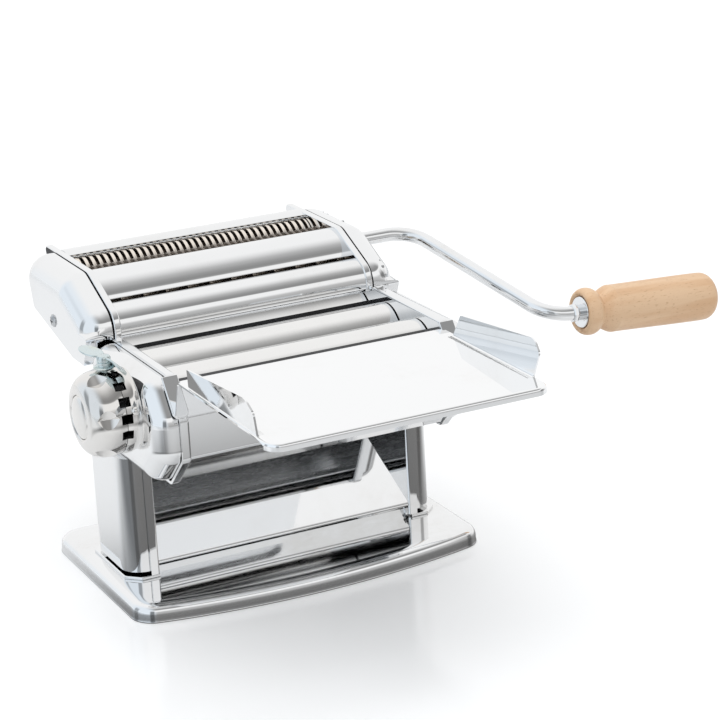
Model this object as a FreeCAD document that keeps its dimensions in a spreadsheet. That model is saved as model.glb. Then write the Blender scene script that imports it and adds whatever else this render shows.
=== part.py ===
import FreeCAD, Part
import math
import os
import Sketcher

# Hand-cranked pasta machine: a roller unit on a stamped foot, a cutter head on its rear top edge, and a crank.
# +X to the crank side, +Y to the back, +Z up. The origin lies under the middle of the foot, on the table.
# Millimetres.

doc = FreeCAD.newDocument("pasta_machine")
sheet = doc.addObject("Spreadsheet::Sheet", "Sizes")

SIZES = (
    ("roller_span", 150, "clear width between the side plates"),
    ("plate_wall", 1.6, "sheet of the side plates and their rims"),
    ("rim_out", 5, "how far the rim of a side plate stands out from its inner face"),
    ("cover_wall", 1.2, "sheet of the covers"),
    ("cover_gap", 0.3, "gap between a cover and the rim round it"),
    ("housing_out", 18, "outer face of a housing from the inner face of its side plate"),
    ("leg_out", 17, "outer face of a leg cover, likewise"),
    ("shoulder", 8, "rounding of the housings' outer edge"),
    ("corner_round", 9, "rounding of the housings' corners"),
    ("roller_height", 113.7, "axis of the smooth rollers above the table"),
    ("head_over", 21.8, "top edge of the side plates above that axis"),
    ("head_under", 38.7, "underside of the head below it"),
    ("head_front", -82, "front edge of the head"),
    ("head_rear", 34, "rear edge of the head and of the legs"),
    ("leg_front", -23, "front edge of the legs"),
    ("foot_top", 13, "top of the foot's raised pads"),
    ("top_cut_run", 15, "front upper slope, along Y"),
    ("top_cut_rise", 20.5, "front upper slope, along Z"),
    ("low_cut_run", 19, "front lower slope, along Y"),
    ("low_cut_rise", 18, "front lower slope, along Z"),
    ("rear_cut", 18, "rear lower slope of the head"),
    ("seat_front", 11, "front of the cutter head's seat, along Y"),
    ("seat_foot", 19, "foot of the seat's slope, along Y"),
    ("seat_drop", 16.5, "drop of the seat from the head's top to its shelf"),
    ("base_half", 102, "half the width of the foot"),
    ("base_rear", 71, "rear edge of the foot"),
    ("base_side_front", 58, "front of the foot at its sides, forward of the origin"),
    ("base_bow", 13, "how far the front bows out in the middle"),
    ("base_corner", 14, "corner radius of the foot"),
    ("base_rim", 8, "height of the foot's rim"),
    ("base_bead", 8, "width of the foot's rim"),
    ("deck_drop", 3.4, "how far the deck lies below the rim"),
    ("base_wall", 1.4, "sheet of the foot"),
    ("pad_flare", 1.8, "flare round the raised pads"),
    ("leg_corner", 12, "corner radius of the legs and pads"),
    ("roller_radius", 17, "smooth rollers"),
    ("rear_axis", -7.5, "rear smooth roller, along Y"),
    ("gap_open", 2.2, "gap between the smooth rollers at its widest"),
    ("gap_travel", 2, "how far the front roller moves towards the rear one"),
    ("end_play", 0.4, "gap between a roller's end and the plate"),
    ("journal_radius", 6.5, "rear roller's and cutter drives' journals"),
    ("slide_journal", 5, "front roller's journals"),
    ("run_fit", 0.05, "radial clearance of the running fits"),
    ("gear_gap", 4, "gap between a plate and the gears outside it"),
    ("journal_out", 2, "how far a plain journal stands out of its plate"),
    ("cheek_wall", 3, "outer cheeks of the sliding blocks"),
    ("bush_wall", 2, "wall of the knob's bearing"),
    ("ring_sides", 8, "flats round each ring of the cutting rollers"),
    ("rod_sides", 12, "flats round the crank's rod"),
    ("gear_width", 6, "width of the gears"),
    ("main_teeth", 14, "teeth of the smooth rollers' gears"),
    ("cut_teeth", 12, "teeth of the cutter gears"),
    ("crank_rod", 8, "diameter of the crank's rod"),
    ("crank_fit", 0.05, "radial clearance of the crank in its socket"),
    ("socket_depth", 12, "depth of the crank sockets"),
    ("key_deep", 2.5, "depth of the flat pocket in a socket's floor"),
    ("key_wide", 6, "width of the crank's tongue, which enters that pocket"),
    ("key_thick", 2, "thickness of the tongue"),
    ("key_fit", 0.15, "clearance round the tongue"),
    ("socket_end", 16.5, "end of the sockets from the plate's inner face"),
    ("port_radius", 8, "holes in the covers round the sockets"),
    ("sheet_wall", 1.2, "chute, guards and tray"),
    ("slide_fit", 0.1, "clearance round the sliding blocks"),
    ("block_half", 9, "half the height of the sliding blocks"),
    ("block_front", 21, "reach of the sliding blocks forward of the roller's axis"),
    ("block_rear", 9, "reach of the sliding blocks behind the axis"),
    ("cam_small", 5.5, "least radius of the cam"),
    ("cam_turn", 156, "turn of the knob from widest to narrowest, degrees"),
    ("cam_gap", 0.15, "gap between the cam and its follower"),
    ("knob_rod", 4, "radius of the knob's shaft"),
    ("knob_radius", 21, "knob at its split"),
    ("knob_split", 23.7, "split of the knob, from the plate's inner face"),
    ("knob_gap", 0.3, "width of the split"),
    ("knob_long", 22, "length of the knob's cap"),
    ("knob_flare", 25, "foot of the knob's collar"),
    ("knob_wall", 2.4, "wall of the knob"),
    ("window_step", 26, "angle between the knob's windows, degrees"),
    ("window_wide", 5, "width of a window round the rim"),
    ("window_deep", 3, "half the width of a window across the split"),
    ("knob_lift", 4, "how far the cap pulls out"),
    ("face_radius", 11.5, "disc in the knob's end"),
    ("tray_drop", 3.8, "top face of the tray below the head's top"),
    ("tray_front", -183, "front edge of the tray"),
    ("tray_rear", -60, "rear edge of the tray"),
    ("tray_lip", 4, "height of the tray's front lip"),
    ("flap_low", 13, "height of the tray's flaps at their rear"),
    ("flap_high", 20, "height of the flaps near the front"),
    ("flap_lean", 11, "lean of the flaps, degrees"),
    ("narrow_over", 10.9, "narrow cutting rollers above the head's top"),
    ("wide_drop", 9.7, "wide cutting rollers below the narrow ones"),
    ("wide_radius", 10, "wide cutting rollers"),
    ("narrow_radius", 12, "narrow cutting rollers"),
    ("wide_front_axis", 24.5, "front wide roller, along Y"),
    ("narrow_front_axis", 66.5, "front narrow roller, along Y"),
    ("wide_bite", 1, "how deep the wide rollers' ridges enter each other"),
    ("narrow_bite", 0.5, "how deep the narrow rollers' ridges enter each other"),
    ("wide_pitch", 13, "spacing of the wide ridges"),
    ("narrow_pitch", 4, "spacing of the narrow ridges"),
    ("blade_gap", 0.05, "clearance beside a ridge in its groove"),
    ("cutter_over", 15.1, "top edge of the cutter head above the narrow rollers"),
    ("seat_gap", 0.05, "gap under the cutter head's seats"),
    ("crank_out", 35.6, "reach of the crank's inner run beyond the cover"),
    ("crank_reach", 121, "crank arm, axis to axis of the handle"),
    ("arm_splay", 11.8, "lean of the arm outwards, degrees"),
    ("arm_turn", 13.44, "turn of the arm below the level, at rest, degrees"),
    ("grip_lean", 3.5, "lean of the crank's handle, degrees"),
    ("grip_length", 78.5, "length of the wooden grip"),
    ("grip_radius", 13.3, "grip at its widest"),
    ("screw_radius", 2, "screws"),
    ("screw_head", 3.6, "radius of the screw heads"),
    ("rod_radius", 4, "tie rods"),
)


class Size:
    """A length of the sheet, or one worked out from it, held as a formula and as a number."""

    def __init__(self, text, value):
        self.text = text
        self.value = value

    def __add__(self, other):
        other = as_size(other)
        return Size("(%s + %s)" % (self.text, other.text), self.value + other.value)

    def __radd__(self, other):
        return as_size(other) + self

    def __sub__(self, other):
        other = as_size(other)
        return Size("(%s - %s)" % (self.text, other.text), self.value - other.value)

    def __rsub__(self, other):
        return as_size(other) - self

    def __mul__(self, other):
        other = as_size(other)
        return Size("(%s * %s)" % (self.text, other.text), self.value * other.value)

    def __rmul__(self, other):
        return as_size(other) * self

    def __truediv__(self, other):
        other = as_size(other)
        return Size("(%s / %s)" % (self.text, other.text), self.value / other.value)

    def __neg__(self):
        return as_size(0) - self


def as_size(thing):
    """Wrap a plain number, so that numbers and sizes mix."""
    if isinstance(thing, Size):
        return thing
    text = "%.9g" % thing
    return Size("(%s)" % text if thing < 0 else text, float(thing))


def fill_sheet():
    """Write the driving sizes into the sheet and return them by name."""
    found = {}
    for row, (alias, value, note) in enumerate(SIZES, start=1):
        sheet.set("A%d" % row, note)
        sheet.set("B%d" % row, "%g" % value)
        sheet.setAlias("B%d" % row, alias)
        found[alias] = Size("Sizes.%s" % alias, float(value))
    doc.recompute()
    return found


S = fill_sheet()
X_AXIS = FreeCAD.Vector(1, 0, 0)
Y_AXIS = FreeCAD.Vector(0, 1, 0)
Z_AXIS = FreeCAD.Vector(0, 0, 1)
ACROSS = FreeCAD.Rotation(Y_AXIS, 90)
NODES = []

HALF_SPAN = S["roller_span"] / 2
FRONT_AXIS = S["rear_axis"] - S["roller_radius"] * 2 - S["gap_open"]
PLATE_OUT = HALF_SPAN + S["plate_wall"]
RIM_FACE = HALF_SPAN + S["rim_out"]
HOUSING_FACE = HALF_SPAN + S["housing_out"]
LEG_FACE = HALF_SPAN + S["leg_out"]
HEAD_TOP = S["roller_height"] + S["head_over"]
HEAD_BOTTOM = S["roller_height"] - S["head_under"]
SEAT_SHELF = HEAD_TOP - S["seat_drop"]
TRAY_TOP = HEAD_TOP - S["tray_drop"]
NARROW_HEIGHT = HEAD_TOP + S["narrow_over"]
WIDE_HEIGHT = NARROW_HEIGHT - S["wide_drop"]
CUTTER_TOP = NARROW_HEIGHT + S["cutter_over"]


def keep(thing, label):
    """Give a finished sub-part its name and list it for writing."""
    thing.Label = label
    NODES.append(thing)
    return thing


def new_body(label):
    """Start a sub-part that is built up from sketches."""
    return keep(doc.addObject("PartDesign::Body", label), label)


def origin_plane(body, role):
    """Find one of the body's own planes."""
    return [feature for feature in body.Origin.OriginFeatures if feature.Role == role][0]


def bulge(start, end, radius):
    """Arc from start to end that bulges to the right of the way between them."""
    along = end - start
    middle = (start + end) * 0.5
    outward = FreeCAD.Vector(along.y, -along.x, 0).normalize()
    depth = math.sqrt(max(radius * radius - along.Length ** 2 / 4, 0))
    return Part.Arc(start, middle + outward * (radius - depth), end)


def outline(body, name, plane, points, height=0, arcs=None):
    """Draw a closed outline whose corners hang on the sheet; arcs gives the radius of each side that bulges."""
    arcs = dict(arcs or {})
    corners = [(as_size(a), as_size(b)) for a, b in points]
    count = len(corners)
    area = sum(
        corners[i][0].value * corners[(i + 1) % count][1].value
        - corners[(i + 1) % count][0].value * corners[i][1].value
        for i in range(count)
    )
    if area < 0:
        corners.reverse()
        arcs = {(count - 2 - side) % count: radius for side, radius in arcs.items()}
    sketch = body.newObject("Sketcher::SketchObject", name)
    sketch.AttachmentSupport = [(origin_plane(body, plane), "")]
    sketch.MapMode = "FlatFace"
    sketch.setExpression(".AttachmentOffset.Base.z", as_size(height).text)
    spots = [FreeCAD.Vector(a.value, b.value, 0) for a, b in corners]
    for i in range(count):
        start, end = spots[i], spots[(i + 1) % count]
        if i in arcs:
            sketch.addGeometry(bulge(start, end, as_size(arcs[i]).value), False)
        else:
            sketch.addGeometry(Part.LineSegment(start, end), False)
    for i in range(count):
        sketch.addConstraint(Sketcher.Constraint("Coincident", i, 2, (i + 1) % count, 1))
    for i, (a, b) in enumerate(corners):
        place(sketch, i, a, b)
    for side, radius in arcs.items():
        index = sketch.addConstraint(Sketcher.Constraint("Radius", side, as_size(radius).value))
        sketch.setExpression("Constraints[%d]" % index, as_size(radius).text)
    return sketch


def place(sketch, i, a, b, point=1):
    """Tie a point of a sketch to its two coordinates; a zero puts it on the axis."""
    for kind, value, axis in (("DistanceX", a, -2), ("DistanceY", b, -1)):
        if value.text == "0":
            sketch.addConstraint(Sketcher.Constraint("PointOnObject", i, point, axis))
        else:
            index = sketch.addConstraint(Sketcher.Constraint(kind, -1, 1, i, point, value.value))
            sketch.setExpression("Constraints[%d]" % index, value.text)


def rings(body, name, plane, circles, height):
    """Draw circles, each given by two coordinates and a radius."""
    sketch = body.newObject("Sketcher::SketchObject", name)
    sketch.AttachmentSupport = [(origin_plane(body, plane), "")]
    sketch.MapMode = "FlatFace"
    sketch.setExpression(".AttachmentOffset.Base.z", as_size(height).text)
    for i, (a, b, radius) in enumerate(circles):
        a, b, radius = as_size(a), as_size(b), as_size(radius)
        centre = FreeCAD.Vector(a.value, b.value, 0)
        sketch.addGeometry(Part.Circle(centre, Z_AXIS, radius.value), False)
        place(sketch, i, a, b, point=3)
        index = sketch.addConstraint(Sketcher.Constraint("Radius", i, radius.value))
        sketch.setExpression("Constraints[%d]" % index, radius.text)
    return sketch


def pad(body, sketch, length, name="pad"):
    """Raise a sketch along its plane's normal."""
    feature = body.newObject("PartDesign::Pad", name)
    feature.Profile = sketch
    feature.setExpression("Length", as_size(length).text)
    return feature


def pocket(body, sketch, length, name="pocket"):
    """Cut a sketch against its plane's normal, and make sure that something went."""
    doc.recompute()
    before = body.Shape.Volume
    feature = body.newObject("PartDesign::Pocket", name)
    feature.Profile = sketch
    feature.setExpression("Length", as_size(length).text)
    doc.recompute()
    if not body.Shape.Volume < before - 0.01:
        raise ValueError("%s cuts nothing from %s" % (name, body.Label))
    return feature


def edges_where(feature, test):
    """Names of the edges whose box passes the test."""
    doc.recompute()
    edges = feature.Shape.Edges
    return ["Edge%d" % (i + 1) for i, edge in enumerate(edges) if test(edge.BoundBox)]


def fillet(body, base, test, radius, name="fillet"):
    """Round the edges that pass the test."""
    edges = edges_where(base, test)
    feature = body.newObject("PartDesign::Fillet", name)
    feature.Base = (base, edges)
    feature.setExpression("Radius", as_size(radius).text)
    return feature


def shell(body, base, test, wall, name="shell"):
    """Hollow the body inward from the faces that pass the test."""
    doc.recompute()
    faces = ["Face%d" % (i + 1) for i, face in enumerate(base.Shape.Faces) if test(face.BoundBox)]
    feature = body.newObject("PartDesign::Thickness", name)
    feature.Base = (base, faces)
    feature.setExpression("Value", as_size(wall).text)
    feature.Mode = 0
    feature.Join = 0
    feature.Reversed = True
    return feature


def near(a, b, slack=0.01):
    """True where two numbers agree."""
    return abs(a - b) < slack


def side_span(side, near_x, far_x):
    """Lower X and length of what lies between two distances from the middle, on one side."""
    low = near_x if side > 0 else -as_size(far_x)
    return low, as_size(far_x) - as_size(near_x)


def side_prism(body, name, side, points, near_x, far_x, arcs=None):
    """Raise a side outline (Y, Z) between two distances from the middle."""
    low, length = side_span(side, near_x, far_x)
    return pad(body, outline(body, name + "_outline", "YZ_Plane", points, low, arcs), length, name)


def side_holes(body, name, side, circles, near_x, far_x):
    """Drill round holes through what lies between two distances from the middle."""
    low, length = side_span(side, near_x, far_x)
    sketch = rings(body, name + "_circles", "YZ_Plane", circles, low + length)
    return pocket(body, sketch, length, name)


def turned(label, profile, y, z, arcs=None):
    """Turn a profile of (X, radius) about a line along X at (y, z)."""
    body = new_body(label)
    sketch = outline(body, "profile", "XY_Plane", profile, 0, arcs)
    feature = body.newObject("PartDesign::Revolution", "turn")
    feature.Profile = sketch
    feature.ReferenceAxis = (sketch, ["H_Axis"])
    feature.Angle = 360
    body.setExpression(".Placement.Base.y", as_size(y).text)
    body.setExpression(".Placement.Base.z", as_size(z).text)
    doc.recompute()
    return body


def cylinder(name, radius, length, x, y, z, rotation=ACROSS):
    """Plain cylinder, along X unless it is turned."""
    made = doc.addObject("Part::Cylinder", name)
    made.setExpression("Radius", as_size(radius).text)
    made.setExpression("Height", as_size(length).text)
    x, y, z = as_size(x), as_size(y), as_size(z)
    made.Placement = FreeCAD.Placement(FreeCAD.Vector(x.value, y.value, z.value), rotation)
    made.setExpression(".Placement.Base.x", x.text)
    made.setExpression(".Placement.Base.y", y.text)
    made.setExpression(".Placement.Base.z", z.text)
    return made


def box(name, low, size):
    """Plain block from its lowest corner and its three sizes."""
    made = doc.addObject("Part::Box", name)
    for side, value in zip(("Length", "Width", "Height"), size):
        made.setExpression(side, as_size(value).text)
    for axis, value in zip("xyz", low):
        made.setExpression(".Placement.Base.%s" % axis, as_size(value).text)
    return made


def fused(name, shapes):
    """One solid out of several."""
    made = doc.addObject("Part::MultiFuse", name)
    made.Shapes = shapes
    made.Refine = True
    return made


def cut(name, base, tool):
    """One solid less another."""
    made = doc.addObject("Part::Cut", name)
    made.Base = base
    made.Tool = tool
    return made


def group(label, shapes):
    """Separate solids of one kind in one node."""
    made = doc.addObject("Part::Compound", label)
    made.Links = shapes
    return keep(made, label)


def solid(label, shape):
    """A sub-part made straight from a shape."""
    made = doc.addObject("Part::Feature", label)
    made.Shape = shape
    return keep(made, label)


def moved_aside(points, wall, closed):
    """Points of a line moved square to its sides, to the left of the way along it."""
    spots = [FreeCAD.Vector(as_size(a).value, as_size(b).value, 0) for a, b in points]
    count = len(points)
    moved = []
    for i in range(count):
        normals = []
        for j in (i - 1, i):
            if closed or 0 <= j < count - 1:
                along = (spots[(j + 1) % count] - spots[j % count]).normalize()
                normals.append(FreeCAD.Vector(-along.y, along.x, 0))
        mean = normals[0] + normals[-1]
        mean = mean * (2 / mean.dot(mean))
        moved.append((as_size(points[i][0]) + wall * mean.x, as_size(points[i][1]) + wall * mean.y))
    return moved


def inset(points, gap):
    """Closed outline, given clockwise, drawn in by a gap."""
    return moved_aside(points[::-1], gap, True)


# Outlines that several sub-parts share

def head_top_outline():
    """Upper edge of the head, from its front slope to the rear: flat, then the cutter head's seat."""
    return [
        (S["head_front"] + S["top_cut_run"], HEAD_TOP),
        (S["seat_front"], HEAD_TOP),
        (S["seat_foot"], SEAT_SHELF),
        (S["head_rear"], SEAT_SHELF),
    ]


def head_front_outline():
    """Lower edge and front of the head, from the leg forward and up to the front slope."""
    return [
        (S["head_front"] + S["low_cut_run"], HEAD_BOTTOM),
        (S["head_front"], HEAD_BOTTOM + S["low_cut_rise"]),
        (S["head_front"], HEAD_TOP - S["top_cut_rise"]),
    ]


def plate_outline():
    """Side plate: the head with its leg going down from the rear."""
    leg = [
        (S["head_rear"], S["foot_top"]),
        (S["leg_front"], S["foot_top"]),
        (S["leg_front"], HEAD_BOTTOM),
    ]
    return head_top_outline() + leg + head_front_outline()


def head_outline():
    """Housing: the head without the leg, drawn in by the rim and its gap."""
    slope = [
        (S["head_rear"], HEAD_BOTTOM + S["rear_cut"]),
        (S["head_rear"] - S["rear_cut"], HEAD_BOTTOM),
    ]
    return inset(head_top_outline() + slope + head_front_outline(), S["plate_wall"] + S["cover_gap"])


def leg_outline():
    """Leg cover: a box whose top follows the housing's lower rear slope."""
    inset = S["plate_wall"] + S["cover_gap"]
    top = HEAD_BOTTOM + inset - S["cover_gap"]
    rear = S["head_rear"] - inset
    slope_foot = S["head_rear"] - S["rear_cut"] - inset * math.tan(math.radians(22.5))
    return [
        (S["leg_front"] + inset, S["foot_top"] + inset),
        (rear, S["foot_top"] + inset),
        (rear, top + rear - slope_foot),
        (slope_foot, top),
        (S["leg_front"] + inset, top),
    ]


# Foot

def bowed_outline(body, name, inset, height):
    """Foot seen from above: straight back and sides, bowed front."""
    half = S["base_half"] - inset
    front = -S["base_side_front"] + inset
    rear = S["base_rear"] - inset
    bow = S["base_bow"]
    radius = (half * half + bow * bow) / (bow * 2)
    points = [(-half, front), (half, front), (half, rear), (-half, rear)]
    return outline(body, name, "XY_Plane", points, height, {0: radius})


def pad_outline(side, grow, corner):
    """Raised pad under a leg, with its two outer corners round."""
    inner = (HALF_SPAN - grow) * side
    outer = (LEG_FACE + grow) * side
    bend = (LEG_FACE + grow - corner) * side
    front = S["leg_front"] - grow
    rear = S["head_rear"] + grow
    points = [
        (inner, front), (bend, front), (outer, front + corner),
        (outer, rear - corner), (bend, rear), (inner, rear),
    ]
    return points, {1: corner, 3: corner}


def make_base():
    """Stamped foot with a rolled rim, a sunk deck and a raised pad under each leg."""
    body = new_body("base_plate")
    deck = S["base_rim"] - S["deck_drop"]
    block = pad(body, bowed_outline(body, "foot_outline", as_size(0), 0), S["base_rim"], "foot")
    block = fillet(body, block, lambda b: b.XLength < 0.01 and b.YLength < 0.01, S["base_corner"], "corners")
    top = S["base_rim"].value
    block = bevel(body, block, lambda b: b.ZMin > top - 0.01, S["base_bead"] * 0.3, "bead")
    recess = pocket(body, bowed_outline(body, "deck_outline", S["base_bead"], S["base_rim"]), S["deck_drop"], "deck")
    fillet(body, recess, lambda b: near(b.ZLength, S["deck_drop"].value) and b.XLength < 0.01, 6, "deck_corners")
    for side, name in ((-1, "left"), (1, "right")):
        points, arcs = pad_outline(side, as_size(0), S["leg_corner"])
        raised = pad(
            body, outline(body, name + "_pad_outline", "XY_Plane", points, deck, arcs),
            S["foot_top"] - deck, name + "_pad",
        )
        low = deck.value
        inner, outer = HALF_SPAN.value - 1, LEG_FACE.value + 1
        bevel(
            body, raised,
            lambda b: near(b.ZMin, low) and near(b.ZMax, low) and min(abs(b.XMin), abs(b.XMax)) > inner
            and max(abs(b.XMin), abs(b.XMax)) < outer and b.XMin * side > 0
            and b.YMin > S["leg_front"].value - 1 and b.YMax < S["head_rear"].value + 1
            and not near(min(abs(b.XMin), abs(b.XMax)) + b.XLength, HALF_SPAN.value),
            S["pad_flare"], name + "_flare",
        )
        points, arcs = pad_outline(side, -S["base_wall"], S["leg_corner"] - S["base_wall"])
        pocket(
            body, outline(body, name + "_pad_hollow", "XY_Plane", points, S["foot_top"] - S["base_wall"], arcs),
            S["foot_top"], name + "_hollow",
        )
    hollow = bowed_outline(body, "underside_outline", S["base_wall"] * 2, deck - S["base_wall"])
    pocket(body, hollow, S["base_rim"], "underside")


# Side plates, housings and legs

def block_outline(reach_front, reach_rear, half):
    """Rectangle round the front roller's axis."""
    return [
        (FRONT_AXIS - reach_front, S["roller_height"] - half),
        (FRONT_AXIS + reach_rear, S["roller_height"] - half),
        (FRONT_AXIS + reach_rear, S["roller_height"] + half),
        (FRONT_AXIS - reach_front, S["roller_height"] + half),
    ]


def tie_spots():
    """Tie rods between the side plates."""
    rear = S["head_rear"] - S["rod_radius"] * 2.5
    return [
        (S["head_front"] + S["rod_radius"] * 3.5, HEAD_BOTTOM + S["low_cut_rise"] - 1),
        (rear, HEAD_BOTTOM + S["rod_radius"] * 2.5),
        (rear, (HEAD_BOTTOM + S["foot_top"]) / 2),
    ]


def make_plate(side, name):
    """Dished side plate: flat wall, rim all round, flange on the foot, roller hole and slide slot."""
    body = new_body(name + "_frame_plate")
    block = side_prism(body, "plate", side, plate_outline(), HALF_SPAN, RIM_FACE)
    face = RIM_FACE.value * side
    shell(body, block, lambda b: near(b.XMin, face) and near(b.XMax, face), S["plate_wall"])
    points, arcs = pad_outline(side, as_size(0), S["leg_corner"])
    flange = outline(body, "flange_outline", "XY_Plane", points, S["foot_top"], arcs)
    pad(body, flange, S["plate_wall"], "flange")
    bearing = S["journal_radius"] + S["run_fit"]
    side_holes(body, "bearing", side, [(S["rear_axis"], S["roller_height"], bearing)], HALF_SPAN, PLATE_OUT)
    low, length = side_span(side, HALF_SPAN, PLATE_OUT)
    slot = block_outline(
        S["block_front"] + S["slide_fit"], S["block_rear"] + S["gap_travel"] + S["slide_fit"],
        S["block_half"] + S["slide_fit"],
    )
    pocket(body, outline(body, "slot_outline", "YZ_Plane", slot, low + length), length, "slot")


def outer_loop(x):
    """Test for the edges that lie in the plane at x."""
    return lambda b: near(b.XMin, x) and near(b.XMax, x)


def hollow_corners(points):
    """Corners of a clockwise outline that turn inward."""
    spots = [FreeCAD.Vector(a.value, b.value, 0) for a, b in points]
    count = len(spots)
    found = []
    for i, spot in enumerate(spots):
        before, after = spot - spots[i - 1], spots[(i + 1) % count] - spot
        if before.cross(after).z > 0:
            found.append(spot)
    return found


def bevel(body, base, test, size, name="bevel"):
    """Chamfer the edges that pass the test."""
    edges = edges_where(base, test)
    feature = body.newObject("PartDesign::Chamfer", name)
    feature.Base = (base, edges)
    feature.setExpression("Size", as_size(size).text)
    return feature


def cover_block(name, side, points, far, soften, corner, edge, low):
    """Form of a cover: a prism whose corners are round and whose outer edge is softened, above a height."""
    body = inner_node(new_body(name))
    block = side_prism(body, "block", side, points, PLATE_OUT, far)
    depth = (far - PLATE_OUT).value
    hollow = hollow_corners(points)

    def is_corner(b):
        along = near(b.XLength, depth) and b.YLength < 0.01 and b.ZLength < 0.01 and b.ZMin > low
        return along and not any(near(b.YMin, spot.x) and near(b.ZMin, spot.y) for spot in hollow)

    block = fillet(body, block, is_corner, corner, "corners")
    face = far.value * side
    soften(body, block, lambda b: near(b.XMin, face) and near(b.XMax, face) and b.ZMax > low + 1, edge, "edge")
    return body


def pressed_cover(label, side, points, holes, low=-1.0):
    """Cover pressed from sheet, open towards its plate, with round holes (Y, Z, radius) in its outer face."""
    points = [(as_size(a), as_size(b)) for a, b in points]
    wall = S["cover_wall"]
    outer = cover_block(label + "_block", side, points, HOUSING_FACE, fillet, S["corner_round"], S["shoulder"], low)
    drawn_in = inset(points, wall)[::-1]
    cavity = cover_block(
        label + "_cavity", side, drawn_in, HOUSING_FACE - wall, bevel,
        S["corner_round"] - wall, S["shoulder"] * 0.6, low,
    )
    start, length = side_span(side, HOUSING_FACE - wall * 2, HOUSING_FACE)
    tools = [
        cylinder("%s_hole%d" % (label, i), radius, length, start, y, z)
        for i, (y, z, radius) in enumerate(holes)
    ]
    hollow = fused(label + "_hollow", [cavity] + tools) if tools else cavity
    keep(cut(label, outer, hollow), label)


def make_housings():
    """End covers of the head; the left one lets the knob's shaft through, the right one the crank."""
    shaft = S["knob_rod"] + S["run_fit"] + S["bush_wall"]
    pressed_cover("left_housing", -1, head_outline()[::-1], [(FRONT_AXIS, S["roller_height"], shaft)])
    port = (S["rear_axis"], S["roller_height"], S["port_radius"])
    pressed_cover("right_housing", 1, head_outline()[::-1], [port])


def make_legs():
    """Leg covers, round at their outer corners."""
    for side, name in ((-1, "left"), (1, "right")):
        body = new_body(name + "_leg_cover")
        block = side_prism(body, "block", side, leg_outline(), PLATE_OUT, LEG_FACE)
        face = LEG_FACE.value * side
        block = fillet(
            body, block,
            lambda b: near(b.XMin, face) and near(b.XMax, face) and b.YLength < 0.01 and b.ZLength > 20,
            S["leg_corner"], "corners",
        )
        shell(body, block, outer_loop(PLATE_OUT.value * side), S["cover_wall"])


def strip(label, points, half=HALF_SPAN):
    """Bent sheet between the side plates, given as a line of (Y, Z) points along one face."""
    body = new_body(label)
    back = moved_aside(points, S["sheet_wall"], False)
    sketch = outline(body, "section", "YZ_Plane", list(points) + back[::-1], -half)
    pad(body, sketch, half * 2, "sheet")
    return body


def make_sheets():
    """Chute between the legs and the guards in front of and behind the smooth rollers."""
    deck = S["base_rim"] - S["deck_drop"]
    wall = S["sheet_wall"]
    front = S["leg_front"] + S["plate_wall"] + 0.4
    chute_top = HEAD_BOTTOM - S["cover_gap"]
    rear = S["head_rear"] - S["plate_wall"] * 2
    chute_run = 35
    strip("chute_plate", [
        (front, deck), (front, S["foot_top"] + 3.7), (front + chute_run, chute_top - wall), (rear, chute_top - wall),
    ])
    inset = S["plate_wall"] + wall + 0.4
    strip("front_guard", [
        (S["head_front"] + S["top_cut_run"] - 4, TRAY_TOP - wall - 0.6),
        (S["head_front"] + inset, HEAD_TOP - S["top_cut_rise"]),
        (S["head_front"] + inset, HEAD_BOTTOM + S["low_cut_rise"]),
        (S["head_front"] + S["low_cut_run"] - 2, HEAD_BOTTOM + inset),
    ])
    behind = S["rear_axis"] + S["roller_radius"] + 2
    strip("rear_guard", [
        (rear, HEAD_BOTTOM + 3), (rear, HEAD_TOP - S["rear_cut"] - 12),
        (behind, S["roller_height"] + 10), (behind, HEAD_TOP - 2.5),
    ])


def make_tie_rods():
    """Rods that hold the side plates apart."""
    rods = [
        cylinder("tie_rod%d" % i, S["rod_radius"], HALF_SPAN * 2, -HALF_SPAN, y, z)
        for i, (y, z) in enumerate(tie_spots())
    ]
    group("tie_rods", rods)


def make_scrapers():
    """Thin strips that keep the smooth rollers clean from below."""
    reach = S["roller_radius"] + 0.5
    tip_run, tip_drop = reach * 0.34, reach * 0.94
    for label, axis, way in (("rear_scraper", S["rear_axis"], 1), ("front_scraper", FRONT_AXIS, -1)):
        tip_y = axis + tip_run * way
        tip_z = S["roller_height"] - tip_drop
        points = [(tip_y, tip_z), (tip_y + 9 * way, tip_z - 12), (tip_y + 9 * way, tip_z - 16)]
        strip(label, points if way < 0 else points[::-1])


# Smooth rollers and their drive

def socket(name, end, y, z):
    """Crank socket to be cut from a shaft's end: a bore with a flat pocket in its floor."""
    clear = S["socket_depth"] - S["key_deep"]
    bore = cylinder(name + "_bore", S["crank_rod"] / 2 + S["crank_fit"], clear, end - clear, y, z)
    wide, thick = S["key_wide"] + S["key_fit"] * 2, S["key_thick"] + S["key_fit"] * 2
    pocket_box = box(
        name + "_pocket", (end - S["socket_depth"], y - wide / 2, z - thick / 2), (S["socket_depth"] - 1, wide, thick),
    )
    return fused(name + "_socket", [bore, pocket_box])


def roller_profile(radius, journal, left, right, end_gap):
    """Half section of a roller with a journal at each end."""
    face = HALF_SPAN - end_gap
    return [
        (-as_size(left), 0), (as_size(right), 0), (as_size(right), journal), (face, journal),
        (face, radius), (-face, radius), (-face, journal), (-as_size(left), journal),
    ]


def shaft_end():
    """Outer end of a shaft with a crank socket, from the middle."""
    return HALF_SPAN + S["socket_end"]


def inner_node(body):
    """Take a body off the list of nodes, because it goes into another solid."""
    NODES.remove(body)
    return body


def make_rear_roller():
    """Fixed smooth roller: its right end takes the crank, and its gear turns the front roller."""
    profile = roller_profile(
        S["roller_radius"], S["journal_radius"], PLATE_OUT + S["journal_out"], shaft_end(), S["end_play"],
    )
    body = inner_node(turned("rear_roller_turned", profile, S["rear_axis"], S["roller_height"]))
    tool = socket("rear", shaft_end(), S["rear_axis"], S["roller_height"])
    keep(cut("rear_roller", body, tool), "rear_roller")


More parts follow.
